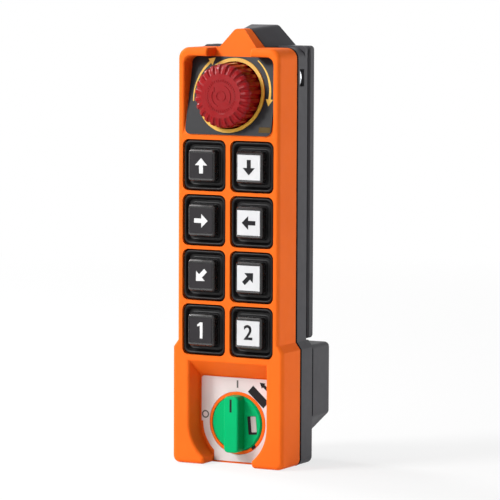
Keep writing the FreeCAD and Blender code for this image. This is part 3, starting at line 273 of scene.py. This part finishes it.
def cross_screw(bm, place, tip):
    """One screw along Y: its head's top at a place, with a cross recess, and its tip so far in front."""
    crown, crown_drop = 0.82 * screw_head, 0.35 * screw_head_thick
    arm, leaf, recess, recess_taper = 0.62 * screw_head, 0.2 * screw_head, 0.6 * screw_head_thick, 0.7
    rim = bmesh.ops.create_circle(bm, cap_ends=False, segments=32, radius=crown)["verts"]
    rim_edges = edges_round(rim)
    corners = [(leaf, leaf), (leaf, arm), (-leaf, arm), (-leaf, leaf), (-arm, leaf), (-arm, -leaf),
               (-leaf, -leaf), (-leaf, -arm), (leaf, -arm), (leaf, -leaf), (arm, -leaf), (arm, leaf)]
    cross = [bm.verts.new((x, y, 0)) for x, y in corners]
    cross_edges = [bm.edges.new((cross[i - 1], cross[i])) for i in range(len(cross))]
    bmesh.ops.triangle_fill(bm, use_beauty=True, use_dissolve=False, edges=rim_edges + cross_edges)
    pit, pit_edges = grown_loop(bm, cross_edges)
    bmesh.ops.scale(bm, verts=pit, vec=(recess_taper, recess_taper, 1))
    bmesh.ops.translate(bm, verts=pit, vec=(0, 0, -recess))
    bmesh.ops.contextual_create(bm, geom=pit_edges)
    made = rim + cross + pit
    edges, size, level = rim_edges, crown, 0
    for radius, depth in ((screw_head, crown_drop), (screw_head, screw_head_thick),
                          (screw_shank, screw_head_thick), (screw_shank, tip)):
        verts, edges = grown_loop(bm, edges)
        bmesh.ops.scale(bm, verts=verts, vec=(radius / size, radius / size, 1))
        bmesh.ops.translate(bm, verts=verts, vec=(0, 0, level - depth))
        size, level = radius, depth
        made += verts
    bmesh.ops.contextual_create(bm, geom=edges)
    back = Matrix.Rotation(-math.pi / 2, 4, "X")
    bmesh.ops.transform(bm, matrix=Matrix.Translation(place) @ back, verts=made)


screw_set = bmesh.new()
for x, y, z in screw_pairs:
    for side in (-1, 1):
        cross_screw(screw_set, Vector((side * x, y, z)), y - screw_tip)
bmesh.ops.recalc_face_normals(screw_set, faces=screw_set.faces)
screws = new_piece("cross_screws", screw_set, steel, "housing")
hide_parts("housing_screws")

# Stop label: a smooth black film plate on the tilted panel, with a pair of yellow turn arrows
# printed round the collar. The plate lies in its recess under the collar.
label_film = moulded("label_film", colour=(0.009, 0.009, 0.0115), shade=(0.007, 0.007, 0.009),
                     roughness=0.34, shine=0.17, grain=700, relief=0.000004)
clothe(label_film, "stop_label")
yellow_ink = moulded("yellow_ink", colour=(0.8, 0.53, 0.1), shade=(0.76, 0.49, 0.085),
                     roughness=0.45, shine=0.15, grain=900, relief=0.000004)
label_low, label_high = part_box("stop_label")
label_thick = 0.0008
panel_slope = (label_high.y - label_low.y - label_thick) / (label_high.z - label_low.z)
stop_low, stop_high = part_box("stop_knob")
stop_height = (stop_low.z + stop_high.z) / 2
ink = 0.00004


def turned(degrees):
    """A turn round the Y axis, clockwise seen from the front."""
    return Matrix.Rotation(math.radians(degrees), 3, "Y")


def turn_arrow(bm, radius, tail, neck, head, start, sweep):
    """A flat arrow bent round the Y axis, from a start in degrees, that widens towards its neck."""
    steps, wing = 24, 0.6 * head
    ends = [bm.verts.new(turned(start) @ Vector((0, 0, radius + side * tail / 2))) for side in (-1, 1)]
    edge = bm.edges.new(ends)
    for step in range(1, steps + 1):
        ends, (edge,) = grown_loop(bm, [edge])
        bmesh.ops.rotate(bm, verts=ends, cent=(0, 0, 0), matrix=turned(sweep / steps))
        middle = (ends[0].co + ends[1].co) / 2
        widen = (tail + (neck - tail) * step / steps) / (ends[0].co - ends[1].co).length
        bmesh.ops.scale(bm, verts=ends, vec=(widen, widen, widen), space=Matrix.Translation(-middle))
    end = turned(start + sweep)
    tip = bm.verts.new(end @ Vector((math.copysign(head, sweep), 0, radius)))
    wings = [bm.verts.new(end @ Vector((0, 0, radius + side * wing))) for side in (-1, 1)]
    bm.faces.new((tip, *wings))


def thicken(bm, depth):
    """Turn flat marks into thin ink that stands forward of the plane they were drawn on."""
    bmesh.ops.recalc_face_normals(bm, faces=bm.faces)
    raised = bmesh.ops.extrude_face_region(bm, geom=bm.faces[:])["geom"]
    bmesh.ops.translate(bm, verts=of_kind(raised, bmesh.types.BMVert), vec=(0, -depth, 0))
    bmesh.ops.recalc_face_normals(bm, faces=bm.faces)


label_arrows = bmesh.new()
for start in (36, 261):
    turn_arrow(label_arrows, radius=0.0212, tail=0.0005, neck=0.0013, head=0.0034, start=start, sweep=58)
thicken(label_arrows, ink)
lean = Matrix.Identity(4)
lean[1][2] = panel_slope
label_front = label_low.y + (stop_height - label_low.z) * panel_slope
bmesh.ops.transform(label_arrows, matrix=Matrix.Translation((0, label_front, stop_height)) @ lean,
                    verts=label_arrows.verts)
new_piece("label_arrows", label_arrows, yellow_ink, "housing")

# Indicator window: an amber light guide of clear plastic, dark while its lamp is off.
# It comes through the label at its lower right corner.
amber = moulded("amber_guide", colour=(0.1, 0.06, 0.012), shade=(0.08, 0.048, 0.009),
                roughness=0.25, shine=0.1, grain=500, relief=0.000003)
clothe(amber, "indicator_window")

# Emergency stop: a yellow collar fixed in the panel and a red fluted knob that is pushed in and
# turned to let it out. Both are smooth mouldings, and the knob's flat face has raised ticks, arrows
# and a hub ring.
yellow_gloss = moulded("yellow_gloss", colour=(0.7, 0.4, 0.055), shade=(0.66, 0.37, 0.046),
                       roughness=0.3, shine=0.2, grain=800, relief=0.000004)
clothe(yellow_gloss, "stop_collar")
red_gloss = moulded("red_gloss", colour=(0.285, 0.0055, 0.008), shade=(0.26, 0.0045, 0.0065),
                    roughness=0.17, shine=0.18, grain=900, relief=0.000004)
clothe(red_gloss, "stop_knob")
tick_count, relief_proud = 40, 0.0003
dish_deep, dish_round, dish_fill, face_round = 0.0005, 0.0076, 0.9, 0.0085
face_thick = dish_deep * dish_fill
upright = Matrix.Rotation(math.pi / 2, 4, "X")


def turned_block(bm, wide, tall, aside=0, radius=0, turn=0):
    """A flat block in the front plane, set at a radius above the origin and turned round it, in degrees."""
    verts = bmesh.ops.create_grid(bm, x_segments=1, y_segments=1, size=0.5, matrix=upright)["verts"]
    bmesh.ops.scale(bm, verts=verts, vec=(wide, 1, tall))
    bmesh.ops.translate(bm, verts=verts, vec=(aside, 0, radius))
    bmesh.ops.rotate(bm, verts=verts, cent=(0, 0, 0), matrix=turned(turn))
    return verts


def flat_ring(bm, inner, outer):
    """A flat ring in the front plane, round the origin."""
    verts = [vert for radius in (inner, outer)
             for vert in bmesh.ops.create_circle(bm, segments=48, radius=radius, matrix=upright)["verts"]]
    bmesh.ops.bridge_loops(bm, edges=edges_round(verts))


knob_face = bmesh.new()
for start in (20, 200):
    turn_arrow(knob_face, radius=0.0052, tail=0.0006, neck=0.001, head=0.002, start=start, sweep=100)
for tick in range(tick_count):
    turned_block(knob_face, wide=0.0004, tall=0.001, radius=0.0076, turn=tick * 360 / tick_count)
flat_ring(knob_face, inner=0.0022, outer=0.0027)
thicken(knob_face, relief_proud)
bmesh.ops.create_cone(knob_face, cap_ends=True, segments=96, radius1=dish_round, radius2=face_round,
                      depth=face_thick, matrix=Matrix.Translation((0, face_thick / 2, 0)) @ upright)
face_front = stop_low.y + dish_deep - face_thick
bmesh.ops.translate(knob_face, verts=knob_face.verts, vec=(0, face_front, stop_height))
new_piece("knob_arrows", knob_face, red_gloss, "stop_actuator")

# Keypad: one black silicone mat behind the front wall. Round each button it comes up in the aperture
# as a soft rim, dips into a trough and climbs to the cap.
silicone = moulded("silicone", colour=(0.006, 0.0056, 0.0062), shade=(0.0075, 0.007, 0.0076),
                   roughness=0.4, shine=0.22, grain=1100, relief=0.000008)
front_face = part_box("front_housing")[0].y
aperture, aperture_corner = Vector((0.0242, 0, 0.0256)), 0.0033
cap_size, cap_corner = Vector((0.0147, 0, 0.0156)), 0.0016
mat_low, mat_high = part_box("keypad_mat")
mat_depth, mat_thick = 0.00256, 0.0005
mat_back = mat_depth + mat_thick
columns = ("left", "right")
rows = (1, 2, 3, 4)
# Both profiles go round the rubber's section: a share of the way from the aperture's edge to the cap,
# and a depth behind the front face.
rim_profile = [(-0.1, mat_depth), (0.09, 0.0024), (0.1, 0.0018), (0.13, 0.0011), (0.19, 0.0007),
               (0.26, 0.0006), (0.34, 0.0008), (0.42, 0.0015), (0.48, 0.0022), (0.56, 0.0026),
               (0.56, 0.0031), (0.46, 0.0028), (0.39, 0.0021), (0.33, 0.0014), (0.27, 0.0012),
               (0.22, 0.0014), (0.18, 0.0019), (0.17, 0.0029), (-0.1, mat_back)]
skirt_profile = [(0.56, 0.0026), (0.66, 0.0029), (0.77, 0.003), (0.87, 0.0027), (0.95, 0.0021),
                 (0.985, 0.0017), (0.985, 0.0023), (0.93, 0.0028), (0.86, 0.0032), (0.77, 0.0035),
                 (0.66, 0.0034), (0.56, 0.0031)]


def rounded_loop(bm, size, corner, place):
    """A closed loop of edges: an upright rectangle with rounded corners, centred on a place."""
    quad = bmesh.ops.create_grid(bm, x_segments=1, y_segments=1, size=0.5)["verts"]
    bmesh.ops.transform(bm, matrix=Matrix.Diagonal((size.x, 1, size.z, 1)) @ upright, verts=quad)
    made = bmesh.ops.bevel(bm, geom=quad, affect="VERTICES", offset=corner, segments=6, profile=0.5,
                           material=-1, clamp_overlap=True)
    sheet = next(face for face in bm.faces if all(vert in face.verts for vert in made["verts"]))
    edges = list(sheet.edges)
    bmesh.ops.translate(bm, verts=list(sheet.verts), vec=place)
    bmesh.ops.delete(bm, geom=[sheet], context="FACES_ONLY")
    return edges


def loft(bm, stations, centre):
    """Bridge rounded loops, each a size, a corner and a depth; gives the first and the last loop."""
    loops = [rounded_loop(bm, size, corner, centre + Vector((0, depth, 0)))
             for size, corner, depth in stations]
    for near, far in zip(loops, loops[1:]):
        bmesh.ops.bridge_loops(bm, edges=near + far)
    return loops[0], loops[-1]


def boot_stations(profile):
    """The loops of a boot, between the aperture's outline and the cap's."""
    sharpen = cap_corner - aperture_corner
    return [(aperture.lerp(cap_size, share), aperture_corner + sharpen * share, depth)
            for share, depth in profile]


def soft_piece(name, bm):
    """An object of silicone from a finished bmesh, smooth all over."""
    bmesh.ops.recalc_face_normals(bm, faces=bm.faces)
    piece = new_object(name, bm, silicone)
    piece.data.shade_smooth()
    return piece


mat = bmesh.new()
mat_middle = Vector((0, front_face, (mat_low.z + mat_high.z) / 2))
outline = (mat_high - mat_low, aperture_corner)
front_edges, back_edges = loft(mat, [(*outline, mat_depth), (*outline, mat_back)], mat_middle)
for column in columns:
    for row in rows:
        low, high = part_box("button_legend_%s_%d" % (column, row))
        centre = Vector(((low.x + high.x) / 2, front_face, (low.z + high.z) / 2))
        above, below = loft(mat, boot_stations(rim_profile), centre)
        front_edges += above
        back_edges += below
        skirt = bmesh.new()
        first, last = loft(skirt, boot_stations(skirt_profile), centre)
        bmesh.ops.bridge_loops(skirt, edges=first + last)
        boot = soft_piece("boot_skirt_%s_%d" % (column, row), skirt)
        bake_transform(boot)
for edges in (front_edges, back_edges):
    bmesh.ops.triangle_fill(mat, use_beauty=True, use_dissolve=False, edges=edges, normal=(0, -1, 0))
keypad = soft_piece("keypad", mat)
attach(keypad, "housing")
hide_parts("keypad_mat")

# Button caps and legends: satin black caps that slide in the boots, bevelled round a snapped-in insert,
# black in the left column and white in the right one, printed with a plain arrow or number.
satin_black = moulded("satin_black", colour=(0.014, 0.013, 0.0135), shade=(0.011, 0.0103, 0.0105),
                      roughness=0.27, shine=0.55, grain=1500, relief=0.000008)
black_insert = moulded("black_insert", colour=(0.024, 0.0215, 0.024), shade=(0.02, 0.018, 0.02),
                       roughness=0.5, shine=0.15, grain=1300, relief=0.00001)
white_insert = moulded("white_insert", colour=(0.66, 0.66, 0.67), shade=(0.62, 0.62, 0.63),
                       roughness=0.35, shine=0.2, grain=900, relief=0.000004)
white_ink = moulded("white_ink", colour=(0.75, 0.75, 0.75), shade=(0.69, 0.69, 0.69),
                    roughness=0.5, shine=0.1, grain=900, relief=0.000003)
black_ink = moulded("black_ink", colour=(0.016, 0.015, 0.017), shade=(0.013, 0.012, 0.014),
                    roughness=0.5, shine=0.1, grain=900, relief=0.000003)
arrow_turns = {("left", 1): 0, ("right", 1): 180, ("left", 2): 90, ("right", 2): -90,
               ("left", 3): 225, ("right", 3): 45}


def bevelled_cap(insert_low, insert_high):
    """A closed cap round an insert: straight sides, a broad bevel and a pocket for the insert."""
    bevel_wide, bevel_tall, bevel_deep, cap_long = 0.001, 0.0014, 0.0008, 0.0075
    frame_corner, frame_fall = 0.001, 0.00008
    pocket_gap, pocket_corner, pocket_deep = 0.00022, 0.0005, 0.0006
    insert_size = insert_high - insert_low
    frame_size = Vector((cap_size.x - bevel_wide, 0, cap_size.z - bevel_tall))
    pocket = Vector((insert_size.x + 2 * pocket_gap, 0, insert_size.z + 2 * pocket_gap))
    stations = [(cap_size, cap_corner, cap_long), (cap_size, cap_corner, bevel_deep),
                (frame_size, frame_corner, 0), (pocket, pocket_corner, frame_fall),
                (pocket, pocket_corner, pocket_deep)]
    centre = (insert_low + insert_high) / 2
    bm = bmesh.new()
    for edges in loft(bm, stations, Vector((centre.x, insert_low.y, centre.z))):
        bmesh.ops.contextual_create(bm, geom=edges)
    bmesh.ops.recalc_face_normals(bm, faces=bm.faces)
    return bm


def flat_sign(corners):
    """A bmesh of one flat face in the front plane."""
    bm = bmesh.new()
    bm.faces.new([bm.verts.new((x, 0, z)) for x, z in corners])
    return bm


def arrow_sign(turn):
    """A plain arrow that points up, then turned."""
    half_head, half_shaft, top, neck, foot = 0.0034, 0.0011, 0.0038, 0.0002, -0.0038
    bm = flat_sign([(0, top), (half_head, neck), (half_shaft, neck), (half_shaft, foot),
                    (-half_shaft, foot), (-half_shaft, neck), (-half_head, neck)])
    bmesh.ops.rotate(bm, verts=bm.verts, cent=(0, 0, 0), matrix=turned(turn))
    return bm


def numeral_one():
    """A plain figure one: a stem and the flag at its top."""
    half_tall, stem_left, stem_right = 0.004, -0.0004, 0.0011
    flag_left, flag_low, flag_high, flag_root = -0.0019, 0.0019, 0.0028, 0.00235
    return flat_sign([(stem_right, half_tall), (stem_right, -half_tall), (stem_left, -half_tall),
                      (stem_left, flag_root), (flag_left, flag_low), (flag_left, flag_high),
                      (stem_left, half_tall)])


def numeral_two():
    """A plain figure two, centred on the origin."""
    size, weight, same_corner = 0.0102, 0.00018, 1e-7
    curve = bpy.data.curves.new("numeral", "FONT")
    curve.body = "2"
    curve.size = size
    curve.offset = weight
    curve.align_x = "CENTER"
    curve.align_y = "CENTER"
    curve.resolution_u = 6
    writer = bpy.data.objects.new("numeral", curve)
    bpy.context.scene.collection.objects.link(writer)
    bm = bmesh.new()
    bm.from_mesh(bpy.data.meshes.new_from_object(writer))
    bpy.data.objects.remove(writer)
    bmesh.ops.remove_doubles(bm, verts=bm.verts, dist=same_corner)
    bmesh.ops.transform(bm, matrix=upright, verts=bm.verts)
    return bm


for column in columns:
    insert, colour = (black_insert, white_ink) if column == "left" else (white_insert, black_ink)
    for row in rows:
        name = "%s_%d" % (column, row)
        clothe(insert, "button_legend_" + name)
        low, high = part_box("button_legend_" + name)
        cap_mesh = bevelled_cap(low, high)
        cap = new_piece("button_top_" + name, cap_mesh, satin_black, "button_" + name)
        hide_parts("button_cap_" + name)
        if (column, row) in arrow_turns:
            sign = arrow_sign(arrow_turns[column, row])
        elif column == "left":
            sign = numeral_one()
        else:
            sign = numeral_two()
        thicken(sign, ink)
        bmesh.ops.translate(sign, verts=sign.verts, vec=((low.x + high.x) / 2, low.y, (low.z + high.z) / 2))
        new_piece("button_sign_" + name, sign, colour, "button_" + name)

# Key plate: a white printed plate on the floor of the recess, round the key, with plain signs for the
# switch's positions: a bar above for on, a ring at the left for off, a dark block at the right to start.
# A raised ring round the key has one small black block at its edge.
white_plate = moulded("white_plate", colour=(0.69, 0.63, 0.63), shade=(0.65, 0.59, 0.59),
                      roughness=0.42, shine=0.2, grain=900, relief=0.000005)
clothe(white_plate, "key_plate")
grey_ink = moulded("grey_ink", colour=(0.13, 0.125, 0.12), shade=(0.11, 0.105, 0.1),
                   roughness=0.5, shine=0.1, grain=900, relief=0.000003)
plate_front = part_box("key_plate")[0].y
ring_proud = 0.0002
key_low, key_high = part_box("key_knob")
key_height = (key_low.z + key_high.z) / 2


def print_mark(name, bm, film, x=0, proud=0, z=0):
    """Print a flat mark on the plate, at a place from the key's axis."""
    thicken(bm, ink)
    bmesh.ops.translate(bm, verts=bm.verts, vec=(x, plate_front - proud, key_height + z))
    new_piece(name, bm, film, "housing")


on_mark = bmesh.new()
turned_block(on_mark, wide=0.0009, tall=0.0038)
print_mark("on_mark", on_mark, grey_ink, z=0.0196)
off_mark = bmesh.new()
flat_ring(off_mark, inner=0.0013, outer=0.002)
print_mark("off_mark", off_mark, grey_ink, x=-0.0181, z=0.0034)
start_mark = bmesh.new()
turned_block(start_mark, wide=0.0117, tall=0.0044, aside=-0.0006, radius=0.0181, turn=42)
turn_arrow(start_mark, radius=0.0244, tail=0.0016, neck=0.0016, head=0.0028, start=47, sweep=-10)
print_mark("start_mark", start_mark, black_ink)
# A small black block at the ring's edge, laid with the same helper as the printed signs.
ring_tick = bmesh.new()
turned_block(ring_tick, wide=0.0025, tall=0.0013, radius=0.0148, turn=141)
print_mark("ring_tick", ring_tick, black_ink, proud=ring_proud)

# Key: a green moulded knob with a bar grip and a black pointer line, on a drum that turns the switch.
# A dark film sticker with a pale patch lies on its disc, right of the grip.
green_gloss = moulded("green_gloss", colour=(0.0, 0.45, 0.15), shade=(0.0, 0.41, 0.135),
                      roughness=0.36, shine=0.06, grain=900, relief=0.000005)
clothe(green_gloss, "key_knob")
clothe(black_ink, "key_pointer")
pale_film = moulded("pale_film", colour=(0.5, 0.48, 0.47), shade=(0.4, 0.38, 0.37),
                    roughness=0.45, shine=0.2, grain=900, relief=0.000004)
disc_proud = 0.0008
film_thick, film_corner, film_turn = 2 * ink, 0.0004, -5


def key_film(name, film, wide, tall, x, z, rise):
    """A thin film with rounded corners on the key's disc, that turns with the key."""
    bm = bmesh.new()
    corners = turned_block(bm, wide, tall)
    bmesh.ops.bevel(bm, geom=corners, affect="VERTICES", offset=film_corner, segments=4, profile=0.5,
                    material=-1)
    thicken(bm, film_thick)
    bmesh.ops.rotate(bm, verts=bm.verts, cent=(0, 0, 0), matrix=turned(film_turn))
    bmesh.ops.translate(bm, verts=bm.verts, vec=(x, plate_front - disc_proud - rise, key_height + z))
    new_piece(name, bm, film, "key")


key_film("key_sticker", black_ink, wide=0.0047, tall=0.0092, x=0.0087, z=-0.0005, rise=0)
key_film("key_patch", pale_film, wide=0.0029, tall=0.0079, x=0.0096, z=0.0001,
         rise=film_thick)

# Battery bay: two AA cells in a moulded tray, sprung strip contacts and a coin-slot screw for the cover.
# The cells are steel cans in a plain printed film that leaves their ends bare.
plain_grey = moulded("plain_grey", colour=(0.1, 0.1, 0.11), shade=(0.085, 0.085, 0.095),
                     roughness=0.5, shine=0.2, grain=1500, relief=0.00001)
clothe(plain_grey, "battery_tray")
clothe(steel, "battery_contacts", "cover_screw")
film_end = 0.0236


def wrapped_can():
    """Film over a steel can: bare metal beyond the film's end, along X."""
    material = moulded("cell_film", colour=(0.045, 0.045, 0.05), shade=(0.038, 0.038, 0.043),
                       roughness=0.3, shine=0.4, grain=600, relief=0.000004)
    tree = material.node_tree
    skin = tree.nodes["Principled BSDF"]
    place = tree.nodes.new("ShaderNodeTexCoord")
    along = tree.nodes.new("ShaderNodeSeparateXYZ")
    link(tree, place.outputs["Object"], along.inputs["Vector"])
    far = tree.nodes.new("ShaderNodeMath")
    far.operation = "ABSOLUTE"
    link(tree, along.outputs["X"], far.inputs[0])
    bare = tree.nodes.new("ShaderNodeMath")
    bare.operation = "GREATER_THAN"
    bare.inputs[1].default_value = film_end
    link(tree, far.outputs["Value"], bare.inputs[0])
    ends = tree.nodes.new("ShaderNodeMix")
    ends.data_type = "RGBA"
    link(tree, skin.inputs["Base Color"].links[0].from_socket, ends.inputs["A"])
    link(tree, steel_tint(tree), ends.inputs["B"])
    link(tree, bare.outputs["Value"], ends.inputs["Factor"])
    link(tree, ends.outputs["Result"], skin.inputs["Base Color"])
    link(tree, bare.outputs["Value"], skin.inputs["Metallic"])
    return material


clothe(wrapped_can(), "battery_cell_upper", "battery_cell_lower")

# Inside: switch bodies, board, radio module and aerial, closed in by the housing, and the stop's return
# spring, which is wound from steel wire and sits between the switch block and the washer.
clothe(plain_grey, "stop_stem", "stop_switch_block", "button_switches", "aerial", "key_rotor",
       "key_switch_block")
board_green = moulded("board_green", colour=(0.02, 0.12, 0.05), shade=(0.016, 0.1, 0.04),
                      roughness=0.4, shine=0.4, grain=800, relief=0.000006)
clothe(board_green, "main_board")
clothe(steel, "radio_module", "board_screws", "stop_washer")
spring_low, spring_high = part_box("stop_spring")
wire, turns, steps_a_turn = 0.0006, 3.5, 32
spring_round = (spring_high.x - spring_low.x - wire) / 2
spring_long = spring_high.y - spring_low.y
coil = bmesh.new()
wire_start = Matrix.Translation((spring_round, spring_low.y + wire / 2, 0))
section = bmesh.ops.create_circle(coil, segments=12, radius=wire / 2, matrix=wire_start)["verts"]
first = edges_round(section)
steps = int(turns * steps_a_turn)
wound = bmesh.ops.spin(coil, geom=section + first, cent=(0, 0, 0), axis=(0, 1, 0), angle=turns * math.tau,
                       steps=steps, dvec=(0, (spring_long - wire) / steps, 0))
for edges in (first, of_kind(wound["geom_last"], bmesh.types.BMEdge)):
    bmesh.ops.contextual_create(coil, geom=edges)
bmesh.ops.recalc_face_normals(coil, faces=coil.faces)
bmesh.ops.translate(coil, verts=coil.verts, vec=(0, 0, stop_height))
spring = new_piece("stop_coil", coil, steel, "housing")
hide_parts("stop_spring")
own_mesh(spring)

# Studio: a white surround that itself gives little light, a pale floor that fades into it with distance
# from the handset, and soft round lamps, most of them at the upper left.
studio = bpy.context.scene
studio.view_settings.view_transform = "Standard"
white = (1, 1, 1, 1)
pale = (0.85, 0.85, 0.85, 1)
surround_light = 0.1
floor_half, floor_level = 40, -0.0001
fade_span, fade_share = (0.3, 1.1), (0.77, 1)
handset_middle = Vector((0, 0, 0.11))
# Each lamp's place, width and power in watts.
lamps = {
    "key_lamp": ((-0.95, -1.1, 1.06), 0.6, 27),
    "front_lamp": ((-0.35, -1.55, 0.25), 0.8, 7),
    "top_lamp": ((-0.75, -0.15, 1.35), 0.9, 8),
    "rim_lamp": ((-1.2, 0.4, 0.85), 0.4, 10),
    "side_lamp": ((1.25, 0.85, 0.2), 0.6, 13),
}


def math_node(tree, operation, one, other):
    """Two sockets joined by an operation."""
    node = tree.nodes.new("ShaderNodeMath")
    node.operation = operation
    link(tree, one, node.inputs[0])
    link(tree, other, node.inputs[1])
    return node.outputs["Value"]


def camera_sees(tree):
    """1 for what the camera sees, also in mirrors and through glass."""
    path = tree.nodes.new("ShaderNodeLightPath")
    seen = math_node(tree, "MAXIMUM", path.outputs["Is Camera Ray"], path.outputs["Is Glossy Ray"])
    return math_node(tree, "MAXIMUM", seen, path.outputs["Is Transmission Ray"])


def mixed(tree, factor, one, other, output):
    """Lead a mix of two shaders to the tree's output."""
    pick = tree.nodes.new("ShaderNodeMixShader")
    link(tree, factor, pick.inputs["Fac"])
    link(tree, one.outputs[0], pick.inputs[1])
    link(tree, other.outputs[0], pick.inputs[2])
    link(tree, pick.outputs["Shader"], tree.nodes[output].inputs["Surface"])


def white_surround():
    """A world that looks white and lights the object only a little."""
    world = bpy.data.worlds.new("surround")
    world.use_nodes = True
    tree = world.node_tree
    dim = tree.nodes["Background"]
    bright = tree.nodes.new("ShaderNodeBackground")
    for shader, strength in ((dim, surround_light), (bright, 1)):
        shader.inputs["Color"].default_value = white
        shader.inputs["Strength"].default_value = strength
    mixed(tree, camera_sees(tree), dim, bright, "World Output")
    return world


def fading_floor():
    """A matte pale floor that fades to white with distance from the object."""
    material = bpy.data.materials.new("pale_floor")
    material.use_nodes = True
    tree = material.node_tree
    tree.nodes.remove(tree.nodes["Principled BSDF"])
    matte = tree.nodes.new("ShaderNodeBsdfDiffuse")
    matte.inputs["Color"].default_value = pale
    glow = tree.nodes.new("ShaderNodeEmission")
    glow.inputs["Strength"].default_value = 1
    place = tree.nodes.new("ShaderNodeTexCoord")
    far = tree.nodes.new("ShaderNodeVectorMath")
    far.operation = "LENGTH"
    link(tree, place.outputs["Object"], far.inputs[0])
    share = spread(tree, far.outputs["Value"], fade_span, fade_share)
    mixed(tree, math_node(tree, "MULTIPLY", camera_sees(tree), share), matte, glow, "Material Output")
    return material


studio.world = white_surround()
floor_mesh = bmesh.new()
bmesh.ops.create_grid(floor_mesh, x_segments=1, y_segments=1, size=floor_half,
                      matrix=Matrix.Translation((0, 0, floor_level)))
mesh = bpy.data.meshes.new("floor")
floor_mesh.to_mesh(mesh)
floor_mesh.free()
mesh.materials.append(fading_floor())
floor = bpy.data.objects.new("floor", mesh)
studio.collection.objects.link(floor)
floor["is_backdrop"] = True
for name, (place, size, power) in lamps.items():
    lamp = bpy.data.lights.new(name, "AREA")
    lamp.shape = "DISK"
    lamp.size = size
    lamp.energy = power
    holder = bpy.data.objects.new(name, lamp)
    studio.collection.objects.link(holder)
    holder.location = place
    holder.rotation_euler = (handset_middle - Vector(place)).to_track_quat("-Z", "Y").to_euler()

# Camera: a long lens at the photograph's angle, fitted to the handset's outline there.
# The shift is only what the photograph's framing needs, and nothing is out of focus.
around, above, tilt, distance = math.radians(28), math.radians(5.161), math.radians(0.225), 1.7549
target = Vector((0, -0.007, 0.11))
lens = bpy.data.cameras.new("camera")
lens.sensor_width = 36
lens.lens = 254.4
lens.shift_x = 0.0164
lens.shift_y = -0.0134
lens.clip_start = 0.1
lens.clip_end = 50
camera = bpy.data.objects.new("camera", lens)
studio.collection.objects.link(camera)
back = Vector((math.sin(around) * math.cos(above), -math.cos(around) * math.cos(above), math.sin(above)))
camera.location = target + back * distance
facing = (-back).to_track_quat("-Z", "Y").to_matrix() @ Matrix.Rotation(tilt, 3, "Z")
camera.rotation_euler = facing.to_euler()
studio.camera = camera

bpy.context.view_layer.update()
low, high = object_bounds()
